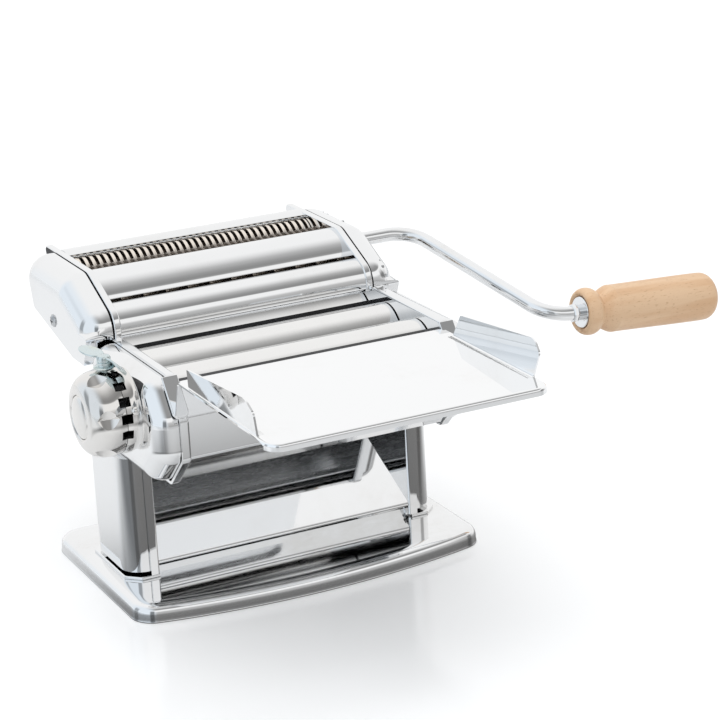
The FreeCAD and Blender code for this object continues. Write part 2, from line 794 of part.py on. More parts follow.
def gear_shape(teeth, pitch_radius, bore, width, turned_by, tip):
    """Spur gear with straight-flanked teeth, its first tooth at the given angle from +Y towards +Z."""
    step = 2 * math.pi / teeth
    module = 2 * pitch_radius / teeth
    rim = pitch_radius + tip * module
    root = pitch_radius - 1.15 * module
    spots = []
    for i in range(teeth):
        middle = turned_by + i * step
        for angle, radius in ((-0.30, root), (-0.10, rim), (0.10, rim), (0.30, root)):
            turn = middle + angle * step
            spots.append(FreeCAD.Vector(0, radius * math.cos(turn), radius * math.sin(turn)))
    wheel = Part.Face(Part.makePolygon(spots + spots[:1])).extrude(FreeCAD.Vector(width, 0, 0))
    return wheel.cut(Part.makeCylinder(bore, width, FreeCAD.Vector(0, 0, 0), X_AXIS))


def make_gear(label, teeth, pitch_radius, bore, x, y, z, turned_by=0.0, tip=0.7):
    """Gear on a journal, to the right of the right-hand plate."""
    width = S["gear_width"].value
    shape = gear_shape(int(teeth.value), pitch_radius.value, bore.value, width, turned_by, tip)
    made = solid(label, shape)
    made.Placement = FreeCAD.Placement(FreeCAD.Vector(x.value, y.value, z.value), FreeCAD.Rotation())


def make_main_gears():
    """Pair of gears on the smooth rollers, in mesh over the whole travel of the front one."""
    pitch_radius = (S["roller_radius"] * 2 + S["gap_open"] - S["gap_travel"]) / 2
    x = PLATE_OUT + S["gear_gap"]
    height = S["roller_height"]
    half_tooth = math.pi / S["main_teeth"].value
    low_tip = 0.6
    make_gear(
        "rear_roller_gear", S["main_teeth"], pitch_radius, S["journal_radius"], x, S["rear_axis"], height, 0.0, low_tip,
    )
    turn = half_tooth if int(S["main_teeth"].value) % 2 == 0 else 0.0
    make_gear(
        "front_roller_gear", S["main_teeth"], pitch_radius, S["slide_journal"], x, FRONT_AXIS, height, turn, low_tip,
    )


def make_front_roller():
    """Sliding smooth roller, carried by a block at each end."""
    block_out = PLATE_OUT + S["cheek_wall"]
    gear_end = PLATE_OUT + S["gear_gap"] + S["gear_width"] + 1
    profile = roller_profile(S["roller_radius"], S["slide_journal"], block_out, gear_end, S["end_play"])
    turned("front_roller", profile, FRONT_AXIS, S["roller_height"])


def make_blocks():
    """Blocks that slide in the plates' slots, and the bar that joins them in front of the roller."""
    block_out = PLATE_OUT + S["cheek_wall"]
    for side, name in ((-1, "left"), (1, "right")):
        body = new_body(name + "_bearing_block")
        inner = block_outline(S["block_front"], S["block_rear"], S["block_half"])
        side_prism(body, "tongue", side, inner, HALF_SPAN, PLATE_OUT + S["slide_fit"])
        outer = block_outline(S["block_front"] + 1.5, S["block_rear"] + 1.5, S["block_half"] + 2)
        side_prism(body, "cheek", side, outer, PLATE_OUT + S["slide_fit"], block_out)
        if side < 0:
            make_follower(body, block_out)
        bore = S["slide_journal"] + S["run_fit"]
        side_holes(body, "bore", side, [(FRONT_AXIS, S["roller_height"], bore)], HALF_SPAN, block_out)
    bar = new_body("carriage_bar")
    half = S["block_half"] - 1.5
    front = FRONT_AXIS - S["block_front"]
    points = [
        (front, S["roller_height"] - half), (front + 2.5, S["roller_height"] - half),
        (front + 2.5, S["roller_height"] + half), (front, S["roller_height"] + half),
    ]
    pad(bar, outline(bar, "section", "YZ_Plane", points, -HALF_SPAN), HALF_SPAN * 2, "bar")


def cam_low():
    """Near face of the cam, from the middle."""
    return PLATE_OUT + S["cheek_wall"] + 0.6


def make_follower(body, block_out):
    """Lug of the left block, behind the cam, that the cam pushes back."""
    front = FRONT_AXIS + S["cam_small"] + S["cam_gap"]
    points = [
        (front, S["roller_height"] - 6), (front + 3.5, S["roller_height"] - 6),
        (front + 3.5, S["roller_height"] + 6), (front, S["roller_height"] + 6),
    ]
    side_prism(body, "follower", -1, points, block_out, cam_low() + 4)


def make_knob_shaft():
    """Knob's shaft with a spiral cam that lifts evenly from its least to its greatest radius."""
    low = cam_low()
    end = HALF_SPAN + S["knob_split"] + S["knob_long"] - 5
    small = S["cam_small"]
    retainer = S["knob_rod"] + 4
    profile = [
        (-end, 0), (-low, 0), (-low, S["knob_rod"]), (-(end - 2), S["knob_rod"]), (-(end - 2), retainer),
        (-end, retainer),
    ]
    rod = inner_node(turned("knob_rod", profile, FRONT_AXIS, S["roller_height"]))
    turn = math.radians(S["cam_turn"].value)
    lift = S["gap_travel"].value
    steps = 24
    spots = []
    for i in range(steps):
        angle = 2 * math.pi * i / steps
        share = min(angle / turn, 1.0) if angle < math.pi * 1.45 else 1.0 - (angle - math.pi * 1.45) / (math.pi * 0.55)
        radius = small.value + lift * max(share, 0.0)
        spots.append(FreeCAD.Vector(0, radius * math.cos(angle), radius * math.sin(angle)))
    disc = Part.Face(Part.makePolygon(spots + spots[:1])).extrude(FreeCAD.Vector(-3, 0, 0))
    cam = doc.addObject("Part::Feature", "cam_disc")
    cam.Shape = disc
    spot = FreeCAD.Vector(-low.value, FRONT_AXIS.value, S["roller_height"].value)
    cam.Placement = FreeCAD.Placement(spot, FreeCAD.Rotation())
    keep(fused("knob_shaft", [rod, cam]), "knob_shaft")


# Knob

def notch_rim(body, name, low, length):
    """Windows round a rim: one notch and its copies."""
    half = S["window_wide"] / 2
    points = [
        (S["knob_radius"] - S["knob_wall"] * 2, -half), (S["knob_radius"] + 6, -half),
        (S["knob_radius"] + 6, half), (S["knob_radius"] - S["knob_wall"] * 2, half),
    ]
    first = pocket(body, outline(body, name + "_outline", "YZ_Plane", points, low + length), length, name)
    axis = [feature for feature in body.Origin.OriginFeatures if feature.Role == "X_Axis"][0]
    pattern = body.newObject("PartDesign::PolarPattern", name + "_round")
    pattern.Originals = [first]
    pattern.Axis = (axis, [""])
    pattern.setExpression("Angle", S["window_step"].text + " * 8")
    pattern.Occurrences = 9
    pattern.Mode = 0
    body.Tip = pattern
    doc.recompute()
    return pattern


def make_collar():
    """Fixed foot of the knob: flares on to the housing and bears the shaft."""
    low = HOUSING_FACE
    high = HALF_SPAN + S["knob_split"] - S["knob_gap"]
    bore = S["knob_rod"] + S["run_fit"]
    spigot = bore + S["bush_wall"]
    inner = S["knob_radius"] - S["knob_wall"]
    profile = [
        (-(low - S["cover_wall"]), bore), (-(low - S["cover_wall"]), spigot), (-low, spigot),
        (-low, S["knob_flare"]), (-high, S["knob_radius"]),
        (-high, inner), (-(low + 2), inner), (-(low + 2), bore),
    ]
    body = turned("knob_collar", profile, FRONT_AXIS, S["roller_height"])
    notch_rim(body, "windows", -high, S["window_deep"])


def make_cap():
    """Domed cap that pulls out along the shaft, with windows at the split and scallops for the fingers."""
    low = HALF_SPAN + S["knob_split"]
    end = low + S["knob_long"]
    shoulder = low + S["knob_long"] * 0.68
    bore = S["knob_rod"] + S["run_fit"]
    inner = S["knob_radius"] - S["knob_wall"]
    face = S["face_radius"]
    web = low + 5
    profile = [
        (-low, S["knob_radius"]), (-(low + 8), S["knob_radius"] + 0.2),
        (-shoulder, S["knob_radius"] - 4), (-(end - 2.2), face + 4.5), (-end, face + 0.6),
        (-end, face), (-(end - 2), face), (-(end - 2), S["knob_rod"] + 5), (-(end - 4), S["knob_rod"] + 5),
        (-(web + 2), inner - 2), (-(web + 2), bore), (-web, bore), (-web, inner), (-low, inner),
    ]
    body = turned("knob_cap", profile, FRONT_AXIS, S["roller_height"])
    notch_rim(body, "windows", -(low + S["window_deep"]), S["window_deep"])
    crease = S["knob_radius"] - 1
    points = [(0, crease), (11, crease + 6), (-11, crease + 6)]
    sketch = outline(body, "scallop_outline", "YZ_Plane", points, -(low + 5))
    first = pocket(body, sketch, S["knob_long"], "scallop")
    axis = [feature for feature in body.Origin.OriginFeatures if feature.Role == "X_Axis"][0]
    pattern = body.newObject("PartDesign::PolarPattern", "scallops")
    pattern.Originals = [first]
    pattern.Axis = (axis, [""])
    pattern.Angle = 360
    pattern.Occurrences = 6
    body.Tip = pattern
    doc.recompute()
    lock_hole(body, low)


def lock_hole(body, low):
    """Hole of the locking screw, straight up through the cap."""
    sketch = rings(body, "lock_circle", "XY_Plane", [(-(low + 5.2), 0, S["screw_radius"])], S["knob_radius"] + 4)
    pocket(body, sketch, 8, "lock_hole")


def make_knob_trim():
    """Disc in the end of the cap and spring round the shaft."""
    low = HALF_SPAN + S["knob_split"]
    end = low + S["knob_long"]
    face = S["face_radius"]
    turned("knob_face", [
        (-(end + 0.4), 0), (-(end - 2), 0), (-(end - 2), face), (-(end - 0.4), face), (-(end + 0.4), face - 1.4),
    ], FRONT_AXIS, S["roller_height"])
    spring_end = end - 5 - 2
    turned("knob_spring", [
        (-spring_end, S["knob_rod"] + 0.3), (-(spring_end - 3), S["knob_rod"] + 0.3),
        (-(spring_end - 3), S["knob_rod"] + 2), (-spring_end, S["knob_rod"] + 2),
    ], FRONT_AXIS, S["roller_height"])


def make_wing_screw():
    """Locking screw of the knob: threaded shank, round hub and two wings."""
    top = S["knob_radius"] + 0.9
    shank = doc.addObject("Part::Cylinder", "wing_shank")
    shank.setExpression("Radius", S["screw_radius"].text)
    shank.setExpression("Height", "3 + 4")
    shank.Placement.Base.z = -3
    hub = doc.addObject("Part::Prism", "wing_hub")
    hub.Polygon = 8
    hub.Circumradius = 4.4
    hub.Height = 7.5
    hub.Placement.Base.z = 1.2
    wings = []
    for side, name in ((-1, "rear_wing"), (1, "front_wing")):
        body = inner_node(new_body(name))
        points = [(2 * side, 2.4), (9 * side, 3.6), (15.5 * side, 7), (17 * side, 11), (13 * side, 12.2),
                  (8 * side, 8.2), (2 * side, 7.4)]
        sketch = outline(body, "wing_outline", "XZ_Plane", points, -0.8, {3: 3.2})
        pad(body, sketch, 1.6)
        wings.append(body)
    made = fused("wing_screw", [shank, hub] + wings)
    across = FreeCAD.Rotation(Z_AXIS, -68)
    x = -(HALF_SPAN + S["knob_split"] + 5.2)
    spot = FreeCAD.Vector(x.value, FRONT_AXIS.value, (S["roller_height"] + top).value)
    made.Placement = FreeCAD.Placement(spot, across)
    keep(made, "wing_screw")


# Tray

def make_tray():
    """Dough tray: flat sheet with a turned-down front lip, a leaning flap each side and two mounting tabs."""
    wall = S["sheet_wall"]
    half = HALF_SPAN + 1
    narrow = HALF_SPAN - 0.3
    step = S["head_front"] + S["top_cut_run"] - 4.2
    sheet_body = inner_node(new_body("tray_sheet"))
    points = [
        (-half, S["tray_front"]), (half, S["tray_front"]), (half, step), (narrow, step),
        (narrow, S["tray_rear"]), (-narrow, S["tray_rear"]), (-narrow, step), (-half, step),
    ]
    pad(sheet_body, outline(sheet_body, "sheet_outline", "XY_Plane", points, TRAY_TOP - wall), wall, "sheet")
    lip = [
        (S["tray_front"], TRAY_TOP - S["tray_lip"]), (S["tray_front"] + wall, TRAY_TOP - S["tray_lip"]),
        (S["tray_front"] + wall, TRAY_TOP), (S["tray_front"], TRAY_TOP),
    ]
    pad(sheet_body, outline(sheet_body, "lip_outline", "YZ_Plane", lip, -half), half * 2, "lip")
    pieces = [sheet_body]
    for side, name in ((-1, "left"), (1, "right")):
        pieces.append(make_flap(side, name, half))
        pieces.append(make_tab(side, name))
    keep(fused("tray", pieces), "tray")


def make_flap(side, name, half):
    """Leaning flap along one side of the tray, hinged on its fold line."""
    body = inner_node(new_body(name + "_flap"))
    wall = S["sheet_wall"]
    rear = S["head_front"] - 2
    front = S["tray_front"] + 14
    points = [
        (rear, 0), (rear - 5, S["flap_low"]), (front + 7, S["flap_high"]), (front, S["flap_high"] - 6), (front + 3, 0),
    ]
    sketch = outline(body, "flap_outline", "YZ_Plane", points, 0, {2: 8})
    pad(body, sketch, wall)
    body.Placement.Rotation = FreeCAD.Rotation(Y_AXIS, side * S["flap_lean"].value)
    low = half - wall if side > 0 else -half
    body.setExpression(".Placement.Base.x", low.text)
    body.setExpression(".Placement.Base.z", (TRAY_TOP - wall * 0.6).text)
    return body


def make_tab(side, name):
    """Foot of the tray that lies on the front upper slope of a side plate's rim."""
    length, width = 23, 8.5
    slope = math.atan2(S["top_cut_rise"].value, S["top_cut_run"].value)
    made = doc.addObject("Part::Box", name + "_tab")
    made.Width = length
    made.setExpression("Height", S["sheet_wall"].text)
    made.Length = width
    inner = HALF_SPAN - 0.5
    x = inner if side > 0 else -(inner + width)
    along = FreeCAD.Vector(0, math.cos(slope), math.sin(slope))
    out = FreeCAD.Vector(0, -math.sin(slope), math.cos(slope))
    foot = FreeCAD.Vector(x.value, S["head_front"].value, (HEAD_TOP - S["top_cut_rise"]).value)
    spot = foot + along * 1.2 + out * 0.1
    made.Placement = FreeCAD.Placement(spot, FreeCAD.Rotation(X_AXIS, math.degrees(slope)))
    return made


# Cutter head

CUT_FRONT = S["seat_front"] + 1
CUT_REAR = S["head_rear"] + 76
WIDE_REAR = S["wide_front_axis"] + S["wide_radius"] * 2 - S["wide_bite"]
NARROW_REAR = S["narrow_front_axis"] + S["narrow_radius"] * 2 - S["narrow_bite"]


def cutter_outline():
    """Cutter side, clockwise: seated on the head's rear top, rising to the back, its rear lower corner sharp."""
    gap = S["seat_gap"]
    seat = HEAD_TOP + gap
    shelf = SEAT_SHELF + gap
    slip = (HEAD_TOP - SEAT_SHELF) / (S["seat_foot"] - S["seat_front"])
    return [
        (CUT_FRONT, seat - slip * 1 + gap), (CUT_FRONT, CUTTER_TOP - 17), (CUT_FRONT + 37, CUTTER_TOP),
        (CUT_REAR + 7, CUTTER_TOP), (CUT_REAR - 1, CUTTER_TOP - 25.5),
        (S["head_rear"] + 2, shelf), (S["seat_foot"] + gap, shelf),
    ]


def cutter_shafts():
    """The four cutting rollers: name, axis along Y, height, radius, pitch and whether it takes the crank."""
    return (
        ("narrow_drive", S["narrow_front_axis"], NARROW_HEIGHT, "narrow", True),
        ("narrow_follow", NARROW_REAR, NARROW_HEIGHT, "narrow", False),
        ("wide_drive", WIDE_REAR, WIDE_HEIGHT, "wide", True),
        ("wide_follow", S["wide_front_axis"], WIDE_HEIGHT, "wide", False),
    )


def cut_journal(driven):
    """Journal of a cutting roller; the ones that take the crank are thicker."""
    return S["journal_radius"] if driven else S["slide_journal"]


def make_cutter_sides():
    """Side plates and their covers; the right cover has a port at each crank socket."""
    for side, name in ((-1, "left"), (1, "right")):
        body = new_body("cutter_%s_plate" % name)
        side_prism(body, "plate", side, cutter_outline(), HALF_SPAN, PLATE_OUT)
        holes = [
            (y, z, cut_journal(driven) + S["run_fit"])
            for _, y, z, _, driven in cutter_shafts()
        ]
        side_holes(body, "shaft_holes", side, holes, HALF_SPAN, PLATE_OUT)
        ports = [(y, z, S["port_radius"]) for _, y, z, _, driven in cutter_shafts() if driven]
        holes = ports if side > 0 else []
        pressed_cover("cutter_%s_cover" % name, side, cutter_outline(), holes, HEAD_TOP.value + 2)


def cover_screw():
    """Place of the screw in a cutter cover's outer face."""
    return CUT_FRONT + 51, NARROW_HEIGHT - 13.4


def make_cutter_screws():
    """Screw in the outer face of each cutter cover."""
    screws = []
    y, z = cover_screw()
    for side in (-1, 1):
        low, length = side_span(side, HOUSING_FACE, HOUSING_FACE + 1.6)
        screws.append(cylinder("cutter_screw%d" % side, S["screw_head"], length, low, y, z))
    group("cutter_screws", screws)


def tube_cover(label, y, z, radius, first, last):
    """Part of a tube over a cutting roller, between two angles from +Y towards +Z."""
    first, last = math.radians(first), math.radians(last)
    start = FreeCAD.Vector(0, math.cos(first), math.sin(first))
    side = FreeCAD.Vector(0, -math.sin(first), math.cos(first))
    turn = FreeCAD.Rotation(start, side, X_AXIS, "ZXY")
    outer = cylinder(label + "_outer", radius, HALF_SPAN * 2, -HALF_SPAN, y, z, turn)
    outer.Angle = math.degrees(last - first)
    inner = cylinder(label + "_inner", radius - S["sheet_wall"], HALF_SPAN * 2, -HALF_SPAN, y, z)
    keep(cut(label, outer, inner), label)


def make_tube_covers():
    """Front, middle and rear covers, with the two feeding slots between them."""
    tube_cover("cutter_front_cover", S["wide_front_axis"] + 0.5, WIDE_HEIGHT - 0.7, S["wide_radius"] + 2.4, 40, 151)
    middle_radius = as_size(20)
    tube_cover("cutter_middle_cover", WIDE_REAR + 10.5, WIDE_HEIGHT + 3, middle_radius, 68, 166)
    tube_cover("cutter_rear_cover", NARROW_REAR + 7, NARROW_HEIGHT + 0.3, S["narrow_radius"] + 3, -20, 118)


def ring_profile(kind, number):
    """Places along a cutting roller and the radius at each: ridges with grooves between them."""
    radius, pitch = S[kind + "_radius"].value, S[kind + "_pitch"].value
    face = (HALF_SPAN - S["end_play"]).value
    half = pitch / 4 + S["blade_gap"].value
    floor = radius - 2.4
    spots = [(-face - pitch * 2, radius)]
    for i in range(number):
        middle = (i - (number - 1) / 2) * pitch
        if kind == "narrow":
            spots += [(middle - pitch / 2, radius), (middle, radius - pitch)]
        else:
            spots += [(middle - half, radius), (middle - half, floor), (middle + half, floor), (middle + half, radius)]
    if kind == "narrow":
        spots += [(number * pitch / 2, radius)]
    return trimmed(spots + [(face + pitch * 2, radius)], face)


def trimmed(spots, face):
    """The part of a profile between -face and face, ends worked out along its lines."""
    kept = [spot for spot in spots if abs(spot[0]) < face]
    for end, at in ((-face, 0), (face, len(kept) + 1)):
        pairs = [(a, b) for a, b in zip(spots, spots[1:]) if a[0] <= end <= b[0] and a[0] < b[0]]
        (x1, r1), (x2, r2) = pairs[0]
        kept.insert(at, (end, r1 + (r2 - r1) * (end - x1) / (x2 - x1)))
    return kept


def flat_sided(spots, sides):
    """Solid with a regular many-sided section whose radius follows the places along X."""
    def corner(x, radius, i):
        turn = 2 * math.pi * i / sides
        return FreeCAD.Vector(x, radius * math.cos(turn), radius * math.sin(turn))

    faces = []
    for (x1, r1), (x2, r2) in zip(spots, spots[1:]):
        for i in range(sides):
            ring = [corner(x1, r1, i), corner(x2, r2, i), corner(x2, r2, i + 1), corner(x1, r1, i + 1)]
            faces.append(Part.Face(Part.makePolygon(ring + ring[:1])))
    for x, radius in (spots[0], spots[-1]):
        ring = [corner(x, radius, i) for i in range(sides)]
        faces.append(Part.Face(Part.makePolygon(ring + ring[:1])))
    return Part.Solid(Part.Shell(faces))


def ridged_roller(name, y, z, kind, driven):
    """Cutting roller: ridges at an even pitch, each running in a groove of the roller beside it."""
    face = HALF_SPAN - S["end_play"]
    number = int(face.value * 2 / S[kind + "_pitch"].value) + (0 if driven else 1)
    rings_part = doc.addObject("Part::Feature", name + "_rings")
    rings_part.Shape = flat_sided(ring_profile(kind, number), int(S["ring_sides"].value))
    rings_part.Placement.Base = FreeCAD.Vector(0, y.value, z.value)
    journal = cut_journal(driven)
    right = shaft_end() if driven else PLATE_OUT + S["gear_gap"] + S["gear_width"] + 1
    left = PLATE_OUT + S["journal_out"]
    parts = [
        rings_part,
        cylinder(name + "_left_journal", journal, left - face, -left, y, z),
        cylinder(name + "_right_journal", journal, right - face, face, y, z),
    ]
    body = fused(name + "_whole", parts)
    body.Refine = False
    if driven:
        body = cut(name + "_roller", body, socket(name, shaft_end(), y, z))
    keep(body, name + "_roller")


def make_cutting_rollers():
    """Both pairs, with their gears."""
    x = PLATE_OUT + S["gear_gap"]
    for name, y, z, kind, driven in cutter_shafts():
        ridged_roller(name, y, z, kind, driven)
        bite = S[kind + "_bite"]
        pitch_radius = S[kind + "_radius"] - bite / 2
        turn = 0.0 if driven else math.pi / S["cut_teeth"].value
        tip = 0.4 if kind == "wide" else 0.7
        make_gear(name + "_gear", S["cut_teeth"], pitch_radius, cut_journal(driven), x, y, z, turn, tip)


def make_comb(name, y, z, kind, driven, upright):
    """Comb whose teeth reach into a roller's grooves and lift the strips out."""
    radius = S[kind + "_radius"]
    pitch = S[kind + "_pitch"]
    face = HALF_SPAN - S["end_play"]
    number = int((face.value * 2) / pitch.value) - (0 if driven else 1)
    first = -(pitch * (number - 1) / 2)
    body = new_body(name + "_comb")
    wall = S["sheet_wall"]
    tip, root, back = radius - 1, radius + 0.8, radius + 4.8
    half = pitch * 0.16 if kind == "narrow" else pitch / 4 - 0.4
    low, high = -HALF_SPAN, HALF_SPAN
    bar = [(low, root), (high, root), (high, back), (low, back)]
    ends = [(first, tip)] if kind == "narrow" else [(first - half, tip), (first + half, tip)]
    tooth = [(first - half, root + 0.1)] + ends + [(first + half, root + 0.1)]
    if upright:
        plane, height = "XZ_Plane", -(y + wall / 2)
        bar, tooth = [[(a, z - b) for a, b in points] for points in (bar, tooth)]
    else:
        plane, height = "XY_Plane", z - wall / 2
        bar, tooth = [[(a, y + b) for a, b in points] for points in (bar, tooth)]
    pad(body, outline(body, "bar_outline", plane, bar, height), wall, "bar")
    ridge = pad(body, outline(body, "tooth_outline", plane, tooth, height), wall, "tooth")
    doc.recompute()
    axis = [feature for feature in body.Origin.OriginFeatures if feature.Role == "X_Axis"][0]
    pattern = body.newObject("PartDesign::LinearPattern", "teeth")
    pattern.Originals = [ridge]
    pattern.Direction = (axis, [""])
    pattern.setExpression("Length", (pitch * (number - 1)).text)
    pattern.Occurrences = number
    body.Tip = pattern
    doc.recompute()


def make_combs():
    """One comb to each cutting roller."""
    for name, y, z, kind, driven in cutter_shafts():
        make_comb(name, y, z, kind, driven, name != "narrow_follow")


# Crank

FERRULE_START = 14
GRIP_START = 28


def crank_route():
    """Points of the crank: in the socket, the bend beside the cover, the bend at the handle, the handle's end."""
    y, z = S["narrow_front_axis"].value, NARROW_HEIGHT.value
    lean = math.radians(S["grip_lean"].value)
    reach = S["crank_reach"].value
    floor = shaft_end() - S["socket_depth"] + S["key_deep"]
    start = FreeCAD.Vector(floor.value + S["key_fit"].value, y, z)
    first = FreeCAD.Vector((HOUSING_FACE + S["crank_out"]).value, y, z)
    splay, turn = math.radians(S["arm_splay"].value), math.radians(S["arm_turn"].value)
    flat = math.cos(splay)
    second = first + FreeCAD.Vector(math.sin(splay), -flat * math.cos(turn), -flat * math.sin(turn)) * reach
    handle = FreeCAD.Vector(math.cos(lean), 0, -math.sin(lean))
    return start, first, second, second + handle * (GRIP_START + S["grip_length"].value - 6.5), handle


def bent(points, radius):
    """Line through the points, each inner corner an arc."""
    edges = []
    start = points[0]
    for before, corner, after in zip(points, points[1:], points[2:]):
        back = (before - corner).normalize()
        ahead = (after - corner).normalize()
        half = back.getAngle(ahead) / 2
        cut_back = radius / math.tan(half)
        first, last = corner + back * cut_back, corner + ahead * cut_back
        centre = corner + (back + ahead).normalize() * (radius / math.sin(half))
        middle = centre + (corner - centre).normalize() * radius
        edges.append(Part.LineSegment(start, first).toShape())
        edges.append(Part.Arc(first, middle, last).toShape())
        start = last
    edges.append(Part.LineSegment(start, points[-1]).toShape())
    return Part.Wire(edges)


def make_crank():
    """Bent rod with a flat tongue at its inner end, its ferrule and the turning wooden grip."""
    start, first, second, end, handle = crank_route()
    radius = S["crank_rod"].value / 2
    path = bent([start, first, second, end], radius * 2.6)
    sides = int(S["rod_sides"].value)
    turns = [2 * math.pi * i / sides for i in range(sides)]
    corners = [start + FreeCAD.Vector(0, radius * math.cos(t), radius * math.sin(t)) for t in turns]
    ring = Part.makePolygon(corners + corners[:1])
    rod = path.makePipeShell([ring], True, False)
    wide, thick = S["key_wide"].value, S["key_thick"].value
    reach = S["key_deep"].value - S["key_fit"].value
    tongue = Part.makeBox(reach * 2, wide, thick, start - FreeCAD.Vector(reach, wide / 2, thick / 2))
    solid("crank_rod", rod.fuse(tongue))
    lean = FreeCAD.Rotation(Y_AXIS, S["grip_lean"].value)
    fit = S["run_fit"]
    rod_radius = S["crank_rod"] / 2
    for label, reach, profile in (
        ("crank_ferrule", FERRULE_START, ferrule_profile(rod_radius)),
        ("grip", GRIP_START, grip_profile(rod_radius + fit)),
    ):
        body = turned(label, profile, 0, 0)
        body.setExpression(".Placement.Base.y", None)
        body.setExpression(".Placement.Base.z", None)
        body.Placement = FreeCAD.Placement(second + handle * reach, lean)


def ferrule_profile(bore):
    """Stop ring pressed on the rod before the grip."""
    return [(0, bore), (9, bore), (9, bore + 2.6), (7.2, bore + 4), (0, bore + 4)]


def grip_profile(bore):
    """Grip: collar, neck, long gently swelling body and a round end that closes over the rod."""
    length, full = S["grip_length"], S["grip_radius"]
    depth = length - 5
    return [
        (0, bore), (0, full * 0.66), (4, full * 0.69), (6, full * 0.56),
        (14.5, full * 0.95), (length * 0.55, full), (length - 12, full * 0.93), (length - 3, full * 0.76),
        (length, full * 0.35), (length, 0), (depth, 0), (depth, bore),
    ]


def check_and_write():
    """Stop on any failed object, then write each sub-part to its own file."""
    doc.recompute()
    for thing in doc.Objects:
        if "Invalid" in thing.State or "Error" in thing.State:
            raise ValueError("%s failed: %s" % (thing.Label, thing.State))
    for node in NODES:
        if node.Shape.isNull() or not node.Shape.isValid() or node.Shape.Volume < 0.1:
            raise ValueError("%s has no sound shape" % node.Label)
    os.makedirs("parts", exist_ok=True)
    for node in NODES:
        node.Shape.exportStep("parts/%s.step" % node.Label)


def main():
    """Build every sub-part, then write them."""
    make_base()
    for side, name in ((-1, "left"), (1, "right")):
        make_plate(side, name)
    make_housings()
    make_legs()
    make_sheets()
    make_tie_rods()
    make_scrapers()
    make_rear_roller()
    make_front_roller()
    make_main_gears()
    make_blocks()
    make_knob_shaft()
    make_collar()
    make_cap()
    make_knob_trim()
    make_wing_screw()
    make_tray()
    make_cutter_sides()
    make_cutter_screws()
    make_tube_covers()
    make_cutting_rollers()
    make_combs()
    make_crank()
    check_and_write()


main()
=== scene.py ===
"""Dresses the hand-cranked pasta machine: sheet metal, rollers, knob, tray, cutter head, crank and studio.

Every length is in millimetres until a point is placed; the scene itself is in metres.
"""

import logging
import math
from dataclasses import dataclass
from enum import Enum
from typing import Callable, Iterable, Optional, Sequence

import bmesh
import bpy
from mathutils import Euler, Matrix, Vector


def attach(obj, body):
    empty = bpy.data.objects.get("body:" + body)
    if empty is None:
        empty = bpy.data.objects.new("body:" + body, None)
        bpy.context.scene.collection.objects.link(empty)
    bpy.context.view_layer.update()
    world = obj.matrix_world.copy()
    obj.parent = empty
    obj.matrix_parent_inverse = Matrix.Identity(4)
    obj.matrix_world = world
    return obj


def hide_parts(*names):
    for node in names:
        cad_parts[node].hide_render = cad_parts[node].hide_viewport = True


log = logging.getLogger("pasta_machine")
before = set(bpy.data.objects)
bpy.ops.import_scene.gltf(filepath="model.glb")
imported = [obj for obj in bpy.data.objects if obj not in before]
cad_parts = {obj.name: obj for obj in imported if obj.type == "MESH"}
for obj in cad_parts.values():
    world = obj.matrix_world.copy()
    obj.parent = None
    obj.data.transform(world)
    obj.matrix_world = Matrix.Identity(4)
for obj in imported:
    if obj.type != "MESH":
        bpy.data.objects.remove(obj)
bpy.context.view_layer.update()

MM = 0.001
NEAR = 0.01  # how near to a level a corner counts as lying on it
ON_AXIS = 1e-5  # the same for the axis of a turned piece
DOUBLES = 1e-6  # corners nearer than this, in metres, are one

# Places that more than one sub-assembly uses.
PLATE_INNER = 75.0
ROLLER_HEIGHT = 113.7
REAR_AXIS = -7.5
FRONT_AXIS = -43.7
SHAFT_START = -78.6
DRIVEN_END = 91.5
FREE_END = 87.6
DRIVEN_JOURNAL = 6.5
FREE_JOURNAL = 5.0
ROD_RADIUS = 4.0
ROD_BORE = 4.05
SHEET = 1.2

Spot = tuple[float, float]
Colour = tuple[float, float, float]


class Plane(Enum):
    """Plane that a flat outline is drawn in, named by the way it faces."""

    SIDE = "x"
    FRONT = "y"
    TOP = "z"

    def place(self, a: float, b: float, level: float) -> Vector:
        """Point of an outline in the scene.

        Args:
            a: first coordinate: Y in SIDE, X in FRONT and TOP.
            b: second coordinate: Z in SIDE and FRONT, Y in TOP.
            level: distance of the plane along its own axis.

        Returns:
            The point in metres.
        """
        spots = {Plane.SIDE: (level, a, b), Plane.FRONT: (a, level, b), Plane.TOP: (a, b, level)}
        return Vector(spots[self]) * MM


class Element(Enum):
    """What an edit-mode tool works on."""

    VERT = "VERT"
    EDGE = "EDGE"
    FACE = "FACE"


@dataclass(frozen=True)
class Mark:
    """A vertex, edge or face as a test sees it: its middle, lowest and highest corner, and its way."""

    mid: Vector
    low: Vector
    high: Vector
    way: Vector


Test = Callable[[Mark], bool]


def rounded(points: Sequence[Spot], radii: Sequence[float] | float, closed: bool = True, steps: int = 8) -> list[Spot]:
    """Round the corners of a line.

    Args:
        points: the corners.
        radii: radius at each corner, or one for all.
        closed: whether the line runs back to its start.
        steps: straight pieces in each arc.

    Returns:
        The points of the rounded line.
    """
    count = len(points)
    if isinstance(radii, (int, float)):
        radii = [float(radii)] * count
    line: list[Spot] = []
    for i, radius in enumerate(radii):
        here = Vector(points[i])
        if radius <= 0 or (not closed and i in (0, count - 1)):
            line.append(tuple(here))
            continue
        back = (Vector(points[i - 1]) - here).normalized()
        ahead = (Vector(points[(i + 1) % count]) - here).normalized()
        half = back.angle(ahead) / 2
        middle = here + (back + ahead).normalized() * (radius / math.sin(half))
        first = here + back * (radius / math.tan(half)) - middle
        last = here + ahead * (radius / math.tan(half)) - middle
        sweep = first.angle(last)
        for k in range(steps + 1):
            share = k / steps
            turned = first * math.sin((1 - share) * sweep) + last * math.sin(share * sweep)
            line.append(tuple(middle + turned / math.sin(sweep)))
    return line


